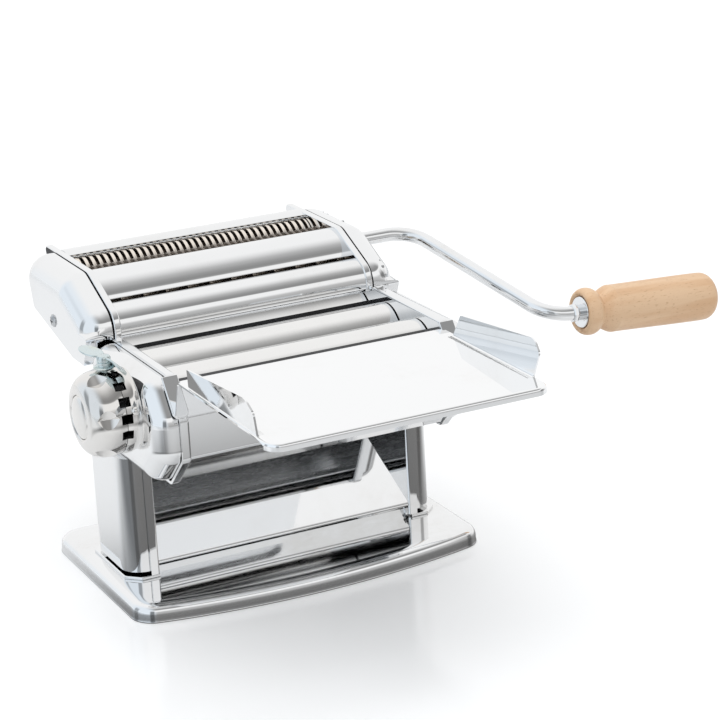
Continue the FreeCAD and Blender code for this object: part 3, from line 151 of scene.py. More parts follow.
def beside(points: Sequence[Spot], gap: float, closed: bool = True) -> list[Spot]:
    """Move a line square to itself, to the left of the way along it.

    Args:
        points: the line.
        gap: how far it moves.
        closed: whether it runs back to its start.

    Returns:
        The moved line, point for point.
    """
    count = len(points)
    moved: list[Spot] = []
    for i in range(count):
        sides = []
        for j in (i - 1, i):
            if closed or 0 <= j < count - 1:
                along = (Vector(points[(j + 1) % count]) - Vector(points[j % count])).normalized()
                sides.append(Vector((-along.y, along.x)))
        mean = sides[0] + sides[-1]
        moved.append(tuple(Vector(points[i]) + mean * (2 * gap / mean.dot(mean))))
    return moved


def sheet_section(line: Sequence[Spot], wall: float, bend: float) -> list[Spot]:
    """Section of a bent sheet, from the line of one face; the wall lies to the left of it.

    Args:
        line: corners of the face.
        wall: thickness.
        bend: outer radius of the bends.

    Returns:
        The closed section.
    """
    face = rounded(line, bend, closed=False, steps=6)
    return face + beside(face, wall, closed=False)[::-1]


def arc(centre: Spot, radius: float, first: float, last: float, steps: int) -> list[Spot]:
    """Points of an arc between two angles in degrees."""
    turns = [math.radians(first + (last - first) * i / steps) for i in range(steps + 1)]
    return [(centre[0] + radius * math.cos(t), centre[1] + radius * math.sin(t)) for t in turns]


def eased(points: Sequence[Spot], steps: int = 5) -> list[Spot]:
    """Smooth line through the given points.

    Args:
        points: points that the line passes.
        steps: new points for each stretch.

    Returns:
        The smooth line.
    """
    line: list[Spot] = []
    last = len(points) - 1
    for i in range(last):
        before, start, end, after = (Vector(points[min(max(k, 0), last)]) for k in (i - 1, i, i + 1, i + 2))
        for k in range(steps):
            t = k / steps
            spot = 0.5 * (
                2 * start + (end - before) * t + (2 * before - 5 * start + 4 * end - after) * t ** 2
                + (3 * start - before - 3 * end + after) * t ** 3
            )
            line.append(tuple(spot))
    return line + [tuple(points[-1])]


class Workpiece:
    """A piece on the bench: started from a primitive, shaped in edit mode and finished with applied modifiers."""

    def __init__(self, name: str, part: bpy.types.Object) -> None:
        """Take up an object under a name.

        Args:
            name: name of the finished piece.
            part: the object to work on.
        """
        self.name = name
        self.part = part
        part.name = name
        part.data.name = name

    @staticmethod
    def release() -> None:
        """Leave edit mode and deselect everything."""
        if bpy.context.mode != "OBJECT":
            bpy.ops.object.mode_set(mode="OBJECT")
        bpy.ops.object.select_all(action="DESELECT")

    @classmethod
    def ring(cls, name: str, plane: Plane, points: Sequence[Spot], level: float, filled: bool) -> "Workpiece":
        """Closed line of edges, or the flat face inside it, from a circle whose corners are moved to the outline.

        Args:
            name: name of the piece.
            plane: plane of the outline.
            points: its corners.
            level: place of the plane along its axis.
            filled: whether the outline holds a face.

        Returns:
            The new workpiece.
        """
        cls.release()
        fill = "NGON" if filled else "NOTHING"
        bpy.ops.mesh.primitive_circle_add(vertices=len(points), radius=MM, fill_type=fill)
        piece = cls(name, bpy.context.object)
        for vertex, (a, b) in zip(piece.part.data.vertices, points):
            vertex.co = plane.place(a, b, level)
        return piece

    @classmethod
    def block(cls, name: str, plane: Plane, points: Sequence[Spot], low: float, high: float) -> "Workpiece":
        """Flat outline extruded from one level to another."""
        piece = cls.ring(name, plane, points, low, True)
        return piece.pick(Element.FACE, lambda m: True).extrude(plane.place(0, 0, (high - low)) / MM).mend()

    @classmethod
    def lathe(
        cls, name: str, profile: Sequence[Spot], y: float, z: float, sides: int = 96, axis: Plane = Plane.SIDE,
    ) -> "Workpiece":
        """Turned piece.

        Args:
            name: name of the piece.
            profile: closed line of (place along the axis, radius); it may start and end on the axis.
            y: the axis along Y.
            z: the axis along Z.
            sides: faces round the piece.
            axis: SIDE for an axis along X at y and z, TOP for the Z axis itself.

        Returns:
            The new workpiece.
        """
        if axis is Plane.SIDE:
            piece = cls.ring(name, Plane.TOP, [(x, y + r) for x, r in profile], z, False)
            centre, way, across, middle = Vector((0, y, z)) * MM, (1, 0, 0), 1, y
        else:
            piece = cls.ring(name, Plane.FRONT, [(r, h) for h, r in profile], 0, False)
            centre, way, across, middle = Vector(), (0, 0, 1), 0, 0.0
        if any(profile[i][1] == 0 and profile[i - 1][1] == 0 for i in range(len(profile))):
            piece.drop(Element.EDGE, lambda m: max(abs(m.low[across] - middle), abs(m.high[across] - middle)) < ON_AXIS)
        piece.pick(Element.EDGE, lambda m: True)
        bpy.ops.mesh.spin(steps=sides, angle=2 * math.pi, center=centre, axis=way)
        return piece.mend()

    def edit(self) -> None:
        """Put the piece, and it alone, in edit mode."""
        if bpy.context.mode == "EDIT_MESH" and bpy.context.object is self.part:
            return
        self.hold()
        bpy.ops.object.mode_set(mode="EDIT")

    def hold(self) -> None:
        """Select the piece, and it alone, in object mode."""
        self.release()
        self.part.select_set(True)
        bpy.context.view_layer.objects.active = self.part

    def pick(self, kind: Element, test: Test) -> "Workpiece":
        """Select what passes a test.

        Args:
            kind: what to look at.
            test: takes a Mark in millimetres and says whether it is meant.

        Returns:
            The workpiece.
        """
        self.edit()
        bpy.ops.mesh.select_mode(type=kind.value)
        bpy.ops.mesh.select_all(action="DESELECT")
        mesh = bmesh.from_edit_mesh(self.part.data)
        groups = {Element.VERT: mesh.verts, Element.EDGE: mesh.edges, Element.FACE: mesh.faces}
        for item in groups[kind]:
            item.select_set(test(self.mark(kind, item)))
        mesh.select_flush_mode()
        bmesh.update_edit_mesh(self.part.data)
        return self

    @staticmethod
    def mark(kind: Element, item: "bmesh.types.BMVert | bmesh.types.BMEdge | bmesh.types.BMFace") -> Mark:
        """Describe a vertex, edge or face in millimetres."""
        corners = [item.co] if kind is Element.VERT else [v.co for v in item.verts]
        spots = [c / MM for c in corners]
        low = Vector([min(s[i] for s in spots) for i in range(3)])
        high = Vector([max(s[i] for s in spots) for i in range(3)])
        mid = sum(spots, Vector()) / len(spots)
        way = (spots[1] - spots[0]).normalized() if kind is Element.EDGE else item.normal.copy()
        return Mark(mid, low, high, way)

    def extrude(self, by: Vector) -> "Workpiece":
        """Extrude the selection by a vector in millimetres."""
        bpy.ops.mesh.extrude_region_move(TRANSFORM_OT_translate={"value": tuple(Vector(by) * MM)})
        return self

    def terrace(self, steps: Iterable[Spot]) -> "Workpiece":
        """Inset the selected face step by step, each by a width and a rise."""
        for width, rise in steps:
            bpy.ops.mesh.inset(thickness=width * MM, depth=rise * MM, use_even_offset=True)
        return self

    def bevel(self, width: float, segments: int) -> "Workpiece":
        """Round the selected edges."""
        bpy.ops.mesh.bevel(
            offset=width * MM, segments=segments, profile=0.5, clamp_overlap=False, loop_slide=True,
        )
        return self

    def drop(self, kind: Element, test: Test) -> "Workpiece":
        """Delete what passes a test."""
        self.pick(kind, test)
        bpy.ops.mesh.delete(type=kind.value)
        return self

    def mend(self) -> "Workpiece":
        """Merge doubles and turn every face outwards."""
        self.pick(Element.VERT, lambda m: True)
        bpy.ops.mesh.remove_doubles(threshold=DOUBLES)
        bpy.ops.mesh.normals_make_consistent(inside=False)
        return self

    def modify(self, kind: str, **settings: object) -> "Workpiece":
        """Add a modifier and apply it at once."""
        self.hold()
        modifier = self.part.modifiers.new(kind.title(), kind)
        for key, value in settings.items():
            setattr(modifier, key, value)
        bpy.ops.object.modifier_apply(modifier=modifier.name)
        return self

    def wall(self, thickness: float) -> "Workpiece":
        """Give an open skin a wall on its inner side."""
        return self.mend().modify("SOLIDIFY", thickness=thickness * MM, offset=-1.0, use_even_offset=True)

    def carve(self, *tools: "Workpiece", operation: str = "DIFFERENCE") -> "Workpiece":
        """Cut with other workpieces, which are used up."""
        for tool in tools:
            self.modify("BOOLEAN", operation=operation, solver="EXACT", object=tool.part)
            tool.scrap()
        return self

    def scrap(self) -> None:
        """Throw the piece away."""
        self.release()
        bpy.data.objects.remove(self.part)

    def join(self, *others: "Workpiece") -> "Workpiece":
        """Make other workpieces part of this one."""
        self.hold()
        for other in others:
            other.part.select_set(True)
        bpy.ops.object.join()
        self.part.name = self.name
        return self

    def twin(self, name: str, change: Matrix) -> "Workpiece":
        """Copy with its own mesh, moved by a matrix whose lengths are in millimetres.

        Args:
            name: name of the copy.
            change: how the copy is moved, turned or mirrored.

        Returns:
            The copy.
        """
        self.hold()
        bpy.ops.object.duplicate()
        return Workpiece(name, bpy.context.object).move(change)

    def move(self, change: Matrix) -> "Workpiece":
        """Move the mesh by a matrix whose lengths are in millimetres."""
        self.release()
        scaled = change.copy()
        scaled.translation = change.translation * MM
        self.part.data.transform(scaled)
        if scaled.determinant() < 0:
            self.part.data.flip_normals()
        return self

    def mirror(self, name: str) -> "Workpiece":
        """The same piece once more, for the other side of the machine."""
        return self.twin(name, Matrix.Scale(-1, 4, (1, 0, 0)))

    def swap(self) -> "Workpiece":
        """Move the piece to the other side of the machine."""
        return self.move(Matrix.Scale(-1, 4, (1, 0, 0)))

    def fan(self, turns: Iterable[Matrix]) -> list["Workpiece"]:
        """Use the piece up for a copy at each of some turns."""
        copies = [self.twin(self.name, turn) for turn in turns]
        self.scrap()
        return copies

    def paint(self, finish: "Finish", test: Test) -> "Workpiece":
        """Give some faces a second finish."""
        if not self.part.data.materials:
            self.part.data.materials.append(None)
        self.part.data.materials.append(finish.material())
        self.pick(Element.FACE, test)
        self.part.active_material_index = len(self.part.data.materials) - 1
        bpy.ops.object.material_slot_assign()
        return self

    def done(
        self, finish: "Finish", body: str, replaces: Sequence[str] = (), sharp: float = 32.0, weigh: bool = True,
    ) -> bpy.types.Object:
        """Finish the piece: smooth shading, material, and its place in the frame.

        Args:
            finish: what it is made of.
            body: the CAD body that it rides on.
            replaces: the CAD nodes that it stands for.
            sharp: angle in degrees from which an edge stays sharp.
            weigh: whether large faces keep flat shading beside their rounded edges.

        Returns:
            The finished object.
        """
        self.hold()
        bpy.ops.object.shade_smooth_by_angle(angle=math.radians(sharp))
        if weigh:
            self.modify("WEIGHTED_NORMAL", keep_sharp=True, weight=80)
        if self.part.data.materials:
            self.part.data.materials[0] = finish.material()
        else:
            self.part.data.materials.append(finish.material())
        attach(self.part, body)
        if replaces:
            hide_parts(*replaces)
        log.info("%s: %d faces, rides on %s", self.name, len(self.part.data.polygons), body)
        return self.part


def bar(name: str, low: Sequence[float], high: Sequence[float]) -> Workpiece:
    """Square bar between two corners."""
    points = [(low[1], low[2]), (high[1], low[2]), (high[1], high[2]), (low[1], high[2])]
    return Workpiece.block(name, Plane.SIDE, points, low[0], high[0])


def rod(name: str, radius: float, low: float, high: float, y: float, z: float, sides: int = 48) -> Workpiece:
    """Round bar along X."""
    return Workpiece.lathe(name, [(low, 0), (low, radius), (high, radius), (high, 0)], y, z, sides)


def socket(end: float) -> list[Spot]:
    """End of a driven shaft's profile, with the bore that takes the crank's rod."""
    return [(end, ROD_BORE), (end - 9.5, ROD_BORE), (end - 9.5, 0)]


def socket_key(end: float, y: float, z: float) -> Workpiece:
    """Tool that cuts the flat pocket for the crank's tongue at the bottom of a socket."""
    wide, high = 3.15, 1.15
    return bar("key", (end - 12, y - wide, z - high), (end - 9, y + wide, z + high))


def turned(degrees: float, axis: str) -> Matrix:
    """Turn about an axis through the origin."""
    return Matrix.Rotation(math.radians(degrees), 4, axis)


class Slot(Enum):
    """Material slots of the record."""

    POLISHED = "polished_steel"
    ROLLER = "roller_steel"
    GEAR = "gear_steel"
    CUTTER = "cutter_steel"
    ZINC = "zinc"
    BEECH = "beech"


class Nodes:
    """A material's node tree while it is wired up."""

    def __init__(self, tree: bpy.types.NodeTree) -> None:
        """Take up a tree and empty it."""
        self.tree = tree
        tree.nodes.clear()

    def add(self, kind: str, **values: object) -> bpy.types.Node:
        """Add a node.

        Args:
            kind: type of the node.
            values: attributes of the node, or inputs, whose names are written with _ for a space.

        Returns:
            The node.
        """
        node = self.tree.nodes.new(kind)
        for key, value in values.items():
            if hasattr(node, key):
                setattr(node, key, value)
            else:
                self.feed(node, key.replace("_", " "), value)
        return node

    def feed(self, node: bpy.types.Node, name: str | int, value: object) -> None:
        """Set an input, or link another node's output to it."""
        socket = node.inputs[name]
        if isinstance(value, bpy.types.NodeSocket):
            self.tree.links.new(value, socket)
        else:
            socket.default_value = value

    def maths(self, operation: str, *values: object) -> bpy.types.NodeSocket:
        """Result of an operation on one, two or three values."""
        node = self.tree.nodes.new("ShaderNodeMath")
        node.operation = operation
        for index, value in enumerate(values):
            self.feed(node, index, value)
        return node.outputs[0]

    def product(self, *values: object) -> bpy.types.NodeSocket:
        """Product of two values."""
        return self.maths("MULTIPLY", *values)

    def mirrored(self, path: bpy.types.bpy_prop_collection) -> bpy.types.NodeSocket:
        """Whether a light path's outputs tell of a reflection or of a view through glass."""
        return self.maths("MAXIMUM", path["Is Glossy Ray"], path["Is Transmission Ray"])

    def blend(self, share: object, a: object, b: object) -> bpy.types.NodeSocket:
        """Mix of two colours."""
        node = self.tree.nodes.new("ShaderNodeMix")
        node.data_type = "RGBA"
        self.feed(node, 0, share)
        self.feed(node, 6, a)
        self.feed(node, 7, b)
        return node.outputs[2]

    def spread(
        self, value: object, low: float, high: float, to_low: float = 0.0, to_high: float = 1.0,
    ) -> bpy.types.NodeSocket:
        """Stretch a range of values to another with soft ends, and hold it there."""
        node = self.add("ShaderNodeMapRange", interpolation_type="SMOOTHSTEP", Value=value)
        for name, number in (("From Min", low), ("From Max", high), ("To Min", to_low), ("To Max", to_high)):
            self.feed(node, name, number)
        return node.outputs[0]

    def relief(self, height: bpy.types.NodeSocket) -> bpy.types.NodeSocket:
        """Normal that a height in metres gives the surface."""
        return self.add("ShaderNodeBump", Strength=1.0, Distance=1.0, Height=height).outputs[0]


def marks_group() -> bpy.types.NodeTree:
    """Marks that every metal of the machine shows: smudges, fine scratches and the sheet's shallow waves.

    Returns:
        The node group; it takes a place, the size of the smudges and the grain of the scratches along each axis.
    """
    found = bpy.data.node_groups.get("surface_marks")
    if found:
        return found
    tree = bpy.data.node_groups.new("surface_marks", "ShaderNodeTree")
    for name, kind in (("Place", "Vector"), ("Smudge Size", "Float"), ("Grain", "Vector")):
        tree.interface.new_socket(name, in_out="INPUT", socket_type="NodeSocket" + kind)
    for name in ("Smudges", "Scratches", "Waves"):
        tree.interface.new_socket(name, in_out="OUTPUT", socket_type="NodeSocketFloat")
    nodes = Nodes(tree)
    given = nodes.add("NodeGroupInput").outputs
    smudge = nodes.add(
        "ShaderNodeTexNoise", Vector=given["Place"], Scale=given["Smudge Size"], Detail=5.0, Roughness=0.62,
    )
    fine = nodes.add("ShaderNodeTexNoise", Vector=given["Place"], Scale=210.0, Detail=3.0)
    stretched = nodes.add("ShaderNodeVectorMath", operation="MULTIPLY")
    nodes.feed(stretched, 0, given["Place"])
    nodes.feed(stretched, 1, given["Grain"])
    scratch = nodes.add("ShaderNodeTexNoise", Vector=stretched.outputs[0], Scale=1.0, Detail=4.0, Roughness=0.7)
    waves = nodes.add("ShaderNodeTexNoise", Vector=given["Place"], Scale=26.0, Detail=1.0)
    out = nodes.add("NodeGroupOutput")
    cloud, broken = nodes.spread(smudge.outputs[0], 0.48, 0.72), nodes.spread(fine.outputs[0], 0.35, 0.7, 0.55, 1.0)
    nodes.feed(out, "Smudges", nodes.product(cloud, broken))
    nodes.feed(out, "Scratches", nodes.spread(scratch.outputs[0], 0.42, 0.78))
    nodes.feed(out, "Waves", waves.outputs[0])
    return tree


@dataclass(frozen=True)
class Finish:
    """What a piece is made of."""

    name: str
    slot: Slot

    def material(self) -> bpy.types.Material:
        """The finish's material, made once."""
        found = bpy.data.materials.get(self.name)
        if found:
            return found
        material = bpy.data.materials.new(self.name)
        material.use_nodes = True
        self.wire(Nodes(material.node_tree))
        return material

    def wire(self, nodes: Nodes) -> None:
        """Build the node tree."""
        raise NotImplementedError


@dataclass(frozen=True)
class Metal(Finish):
    """Plated or bare metal with smudges, scratches and waves of its own strength."""

    colour: Colour = (0.87, 0.875, 0.88)
    stain: Colour = (0.78, 0.77, 0.755)
    rough: float = 0.03
    smudged: float = 0.04
    scratched: float = 0.02
    waves: float = 0.00002
    furrows: float = 0.0
    smudge_size: float = 17.0
    grain: tuple[float, float, float] = (90.0, 700.0, 700.0)

    def wire(self, nodes: Nodes) -> None:
        """Metal whose roughness, tint and relief change over the surface."""
        place = nodes.add("ShaderNodeTexCoord").outputs["Object"]
        marks = nodes.add("ShaderNodeGroup", node_tree=marks_group())
        nodes.feed(marks, "Place", place)
        nodes.feed(marks, "Smudge Size", self.smudge_size)
        nodes.feed(marks, "Grain", self.grain)
        smudges, scratches = marks.outputs["Smudges"], marks.outputs["Scratches"]
        smudged = nodes.maths("MULTIPLY_ADD", smudges, self.smudged, self.rough)
        rough = nodes.maths("MULTIPLY_ADD", scratches, self.scratched, smudged)
        tint = nodes.blend(nodes.product(smudges, 0.5), (*self.colour, 1), (*self.stain, 1))
        height = nodes.product(marks.outputs["Waves"], self.waves)
        if self.furrows:
            height = nodes.maths("MULTIPLY_ADD", scratches, -self.furrows, height)
        shader = nodes.add(
            "ShaderNodeBsdfPrincipled", Base_Color=tint, Metallic=1.0, Roughness=rough, Normal=nodes.relief(height),
        )
        nodes.add("ShaderNodeOutputMaterial", Surface=shader.outputs[0])


@dataclass(frozen=True)
class Wood(Finish):
    """Turned beech under a thin lacquer: even ground, growth bands and short dark flecks along the grain."""

    ground: Colour = (0.80, 0.56, 0.36)
    band: Colour = (0.72, 0.46, 0.27)
    fleck: Colour = (0.50, 0.28, 0.14)
    fleck_depth: float = 0.00006
    pore_depth: float = 0.00003

    def wire(self, nodes: Nodes) -> None:
        """Wood with its grain along X."""
        place = nodes.add("ShaderNodeTexCoord").outputs["Object"]

        def noise(scale: tuple[float, float, float], detail: float) -> bpy.types.NodeSocket:
            """Noise stretched along the grain."""
            mapped = nodes.add("ShaderNodeMapping", Scale=scale)
            nodes.feed(mapped, "Vector", place)
            return nodes.add("ShaderNodeTexNoise", Vector=mapped.outputs[0], Scale=1.0, Detail=detail).outputs[0]

        bands = noise((14.0, 190.0, 120.0), 3.0)
        flecks = nodes.spread(noise((330.0, 1900.0, 1500.0), 2.0), 0.60, 0.72)
        fine = noise((60.0, 2600.0, 2600.0), 3.0)
        ground = nodes.blend(nodes.spread(bands, 0.35, 0.68), (*self.ground, 1), (*self.band, 1))
        speckled = nodes.blend(nodes.product(flecks, 0.62), ground, (*self.fleck, 1))
        colour = nodes.blend(nodes.spread(fine, 0.3, 0.75, 0.0, 0.22), speckled, (*self.band, 1))
        height = nodes.maths("MULTIPLY_ADD", flecks, -self.fleck_depth, nodes.product(fine, self.pore_depth))
        shader = nodes.add(
            "ShaderNodeBsdfPrincipled", Base_Color=colour, Roughness=nodes.spread(fine, 0.2, 0.8, 0.36, 0.5),
            Normal=nodes.relief(height),
        )
        shader.inputs["Specular IOR Level"].default_value = 0.4
        nodes.add("ShaderNodeOutputMaterial", Surface=shader.outputs[0])


POLISHED = Metal("polished_plate", Slot.POLISHED)
TRAY_STEEL = Metal(
    "tray_sheet", Slot.POLISHED, colour=(0.94, 0.945, 0.95), stain=(0.88, 0.875, 0.865), rough=0.025,
    waves=0.00001, grain=(700.0, 60.0, 700.0),
)
KNOB_CHROME = Metal(
    "knob_chrome", Slot.POLISHED, colour=(0.80, 0.785, 0.765), stain=(0.70, 0.68, 0.655), waves=0.00001,
    smudge_size=40.0,
)
ROD_STEEL = Metal("crank_steel", Slot.POLISHED, rough=0.09, waves=0.0, grain=(60.0, 900.0, 900.0))
ROLLER_STEEL = Metal(
    "ground_roller", Slot.ROLLER, colour=(0.86, 0.855, 0.845), rough=0.05, scratched=0.07,
    waves=0.0, furrows=0.00001, grain=(1500.0, 12.0, 12.0),
)
CUTTER_STEEL = Metal(
    "nickelled_cutter", Slot.CUTTER, colour=(0.88, 0.81, 0.73), stain=(0.62, 0.54, 0.46), rough=0.16, smudged=0.12,
    scratched=0.14, waves=0.0, grain=(1100.0, 15.0, 15.0),
)
# Dark copy of the cutter finish, painted as shade: on the groove floors between the ridges, and on the whole front
# roller of each cutter pair.
SHADED_CUTTER = Metal(
    "painted_shade_cutter", Slot.CUTTER, colour=(0.20, 0.17, 0.145), stain=(0.10, 0.085, 0.07), rough=0.3, smudged=0.2,
    scratched=0.2, waves=0.0, grain=(1100.0, 15.0, 15.0),
)
GEAR_STEEL = Metal(
    "plain_steel", Slot.GEAR, colour=(0.56, 0.57, 0.58), stain=(0.38, 0.36, 0.34), rough=0.24, smudged=0.2,
    scratched=0.16, waves=0.00003, furrows=0.00001,
)
# Near-black finish painted on faces that stand for shade: inside the knob, in the gap beside each cutter plate and on
# the guards' top lips between parts.
PAINTED_SHADE = Metal(
    "painted_shade_inside", Slot.POLISHED, colour=(0.055, 0.056, 0.06), stain=(0.09, 0.085, 0.08), rough=0.5,
    smudged=0.2, waves=0.0,
)
ZINC = Metal(
    "passivated_zinc", Slot.ZINC, colour=(0.66, 0.74, 0.75), stain=(0.74, 0.72, 0.55), rough=0.2, smudged=0.16,
    scratched=0.1, smudge_size=120.0,
)
BEECH = Wood("lacquered_beech", Slot.BEECH)


@dataclass
class Foot:
    """Stamped foot: one flat deck that rolls over into a low skirt, with a bowed front."""

    half: float = 102.0
    front: float = -58.0
    bow: float = 13.0
    rear: float = 71.0
    corner: float = 14.0
    hem: float = 0.5
    bow_steps: int = 40
    roll: tuple[Spot, ...] = (
        (0.15, 0.25), (0.1, 1.2), (0.15, 2.2), (0.25, 1.3), (0.35, 0.9), (0.5, 0.8), (0.7, 0.7), (0.95, 0.6),
        (1.3, 0.45), (1.7, 0.28), (2.2, 0.12),
    )

    def outline(self) -> list[Spot]:
        """Foot seen from above, with its bowed front."""
        radius = (self.half ** 2 + self.bow ** 2) / (2 * self.bow)
        middle = self.front - self.bow + radius
        reach = self.half - self.corner * 1.3
        places = [-reach + 2 * reach * i / self.bow_steps for i in range(self.bow_steps + 1)]
        front = [(x, middle - math.sqrt(radius ** 2 - x ** 2)) for x in places]
        points = [(-self.half, self.front)] + front + [
            (self.half, self.front), (self.half, self.rear), (-self.half, self.rear),
        ]
        radii = [self.corner] + [0.0] * len(front) + [self.corner] * 3
        return rounded(points, radii, steps=12)

    def build(self) -> None:
        """Make the foot and dress it."""
        piece = Workpiece.block("foot", Plane.TOP, self.outline(), 0.0, self.hem)
        piece.pick(Element.FACE, lambda m: m.mid.z > self.hem - NEAR).terrace(self.roll)
        piece.drop(Element.FACE, lambda m: m.high.z < NEAR)
        piece.wall(SHEET).done(POLISHED, "frame", ["base_plate"], sharp=28.0)


@dataclass
class SideFrame:
    """One side of the body: dished side plate with its flange, housing and leg cover."""

    inner: float = PLATE_INNER
    wall: float = 1.6
    rim: float = 80.0
    shoulder: float = 11.5
    deck: float = 9.3
    housing_face: float = 93.0
    leg_face: float = 92.0
    slot_half: float = 9.1
    slot_ends: Spot = (-21.1, 11.1)
    bearing: float = 6.55
    draw: float = 0.3
    round_steps: int = 12

    @property
    def outer(self) -> float:
        """Outer face of the plate."""
        return self.inner + self.wall

    @staticmethod
    def head(below: Sequence[Spot]) -> list[Spot]:
        """Corners of the head, from the top of its front backwards, with those below its rear given."""
        return [(-67, 135.5), (11, 135.5), (19, 119), (34, 119), *below, (-63, 75), (-82, 93), (-82, 115)]

    def plate_outline(self) -> list[Spot]:
        """Side plate: the head with its leg."""
        points = self.head([(34, self.deck), (-23, self.deck), (-23, 75)])
        return rounded(points, [4, 3, 3, 3, 1.5, 1.5, 4, 5, 5, 5], steps=6)[::-1]

    def housing_outline(self) -> list[Spot]:
        """Housing: the head without its leg, drawn in from the rim."""
        drawn_in = beside(self.head([(34, 93), (16, 75)])[::-1], self.wall + self.draw)[::-1]
        return rounded(drawn_in, [12, 12, 1.5, 12, 12, 12, 12, 12, 12], steps=10)[::-1]

    def plate(self, name: str) -> Workpiece:
        """Dished plate with the slot of the sliding block, the bearing hole and the flange on the foot."""
        piece = Workpiece.block(name, Plane.SIDE, self.plate_outline(), self.inner, self.rim)
        piece.pick(Element.EDGE, lambda m: m.high.x < self.inner + NEAR).bevel(1.5, 4)
        piece.drop(Element.FACE, lambda m: m.low.x > self.rim - NEAR).wall(self.wall)
        start, end = self.inner - 2, self.outer + 1
        heights = (-self.slot_half, self.slot_half)
        low, high = ((FRONT_AXIS + y, ROLLER_HEIGHT + z) for y, z in zip(self.slot_ends, heights))
        bearing = rod("bearing", self.bearing, start, end, REAR_AXIS, ROLLER_HEIGHT)
        piece.carve(bar("slot", (start, *low), (end, *high)), bearing)
        return piece.join(self.flange())

    def flange(self) -> Workpiece:
        """Flange that lies on the foot's deck."""
        start, outer = self.inner + self.wall / 2, self.leg_face + 1.2
        front, rear, cut = -24.5, 36.0, 7.5
        points = [
            (start, front), (outer - cut, front), (outer, front + cut), (outer, rear - cut), (outer - cut, rear),
            (start, rear),
        ]
        outline = rounded(points, [0, 2, 2, 2, 2, 0], steps=4)
        piece = Workpiece.block("flange", Plane.TOP, outline, self.deck, self.deck + self.wall)
        piece.pick(Element.EDGE, lambda m: abs(m.way.z) < 0.1 and m.mid.x > self.inner + 1).bevel(0.55, 3)
        return piece

    def housing(self, name: str, hole: tuple[float, float]) -> Workpiece:
        """Deep-drawn cover with wide round shoulders.

        Args:
            name: name of the piece.
            hole: axis along Y and radius of the hole in its face.

        Returns:
            The housing.
        """
        piece = Workpiece.block(name, Plane.SIDE, self.housing_outline(), self.outer, self.housing_face)
        piece.pick(Element.EDGE, lambda m: m.low.x > self.housing_face - NEAR).bevel(self.shoulder, self.round_steps)
        piece.drop(Element.FACE, lambda m: m.high.x < self.outer + NEAR).wall(SHEET)
        tool = rod("hole", hole[1], self.housing_face - 6, self.housing_face + 2, hole[0], ROLLER_HEIGHT, 64)
        return piece.carve(tool)

    def leg(self, name: str) -> Workpiece:
        """Leg cover with round outer corners; its top follows the housing's rear slope."""
        front, rear = -21.1, 32.1
        points = [(self.outer, front), (self.leg_face, front), (self.leg_face, rear), (self.outer, rear)]
        bottom, top = self.deck + 3.0, 93.5
        piece = Workpiece.block(name, Plane.TOP, rounded(points, [0, 12, 12, 0], steps=14), bottom, top)
        above = [(-30, 76.6), (15.2, 76.6), (45, 106.4), (45, 112), (-30, 112)]
        piece.carve(Workpiece.block("above", Plane.SIDE, above, self.inner - 5, self.leg_face + 7))
        return piece.drop(Element.FACE, lambda m: m.high.x < self.outer + NEAR).wall(SHEET)

    def build(self) -> None:
        """Make both sides and dress them."""
        for make, kind in ((self.plate, "frame_plate"), (self.leg, "leg_cover")):
            right = make("side_" + kind)
            right.mirror("left_side_" + kind).done(POLISHED, "frame", ["left_" + kind])
            right.done(POLISHED, "frame", ["right_" + kind])
        self.housing("crank_side_housing", (REAR_AXIS, 8.0)).done(POLISHED, "frame", ["right_housing"])
        self.housing("knob_side_housing", (FRONT_AXIS, 6.1)).swap().done(POLISHED, "frame", ["left_housing"])


@dataclass
class InnerSheets:
    """Chute, guards and tie rods between the side plates."""

    half: float = PLATE_INNER

    def sheet(self, name: str, line: Sequence[Spot], bend: float, node: str, shaded_band: Optional[Spot] = None) -> None:
        """Bent sheet across the machine; where two heights are given, the faces between them are painted dark as shade.
        """
        piece = Workpiece.block(name, Plane.SIDE, sheet_section(line, SHEET, bend), -self.half, self.half)
        if shaded_band:
            # Painted shade: this band of the sheet stands for the shadowed gap beside the rollers.
            piece.paint(PAINTED_SHADE, lambda m: m.low.z > shaded_band[0] and m.high.z < shaded_band[1])
        piece.done(POLISHED, "frame", [node])

    def build(self) -> None:
        """Make the sheets and rods and dress them."""
        self.sheet("chute", [(-16.5, 9.3), (-21, 16.7), (14, 73.5), (30.8, 73.5)], 1.6, "chute_plate")
        front = [(-61.9, 130.3), (-71, 130.3), (-78.8, 115), (-78.8, 93), (-65, 78.2)]
        # The front shield's top lip is painted dark as the shadow between the tray and the front roller.
        self.sheet("front_shield", front, 3.0, "front_guard", (126.0, 140.0))
        rear = [(30.8, 78), (30.8, 105.5), (11.5, 123.7), (11.48, 128.0), (11.5, 133)]
        # The rear shield's top lip is painted dark as the shade between the rear roller and the guard.
        self.sheet("rear_shield", rear, 3.0, "rear_guard", (123.0, 128.6))
        first, *others = [
            rod("tie_bars", 4.0, -self.half, self.half, y, z, 32) for y, z in ((-68, 92), (24, 85), (24, 44))
        ]
        first.join(*others).done(GEAR_STEEL, "frame", ["tie_rods"])


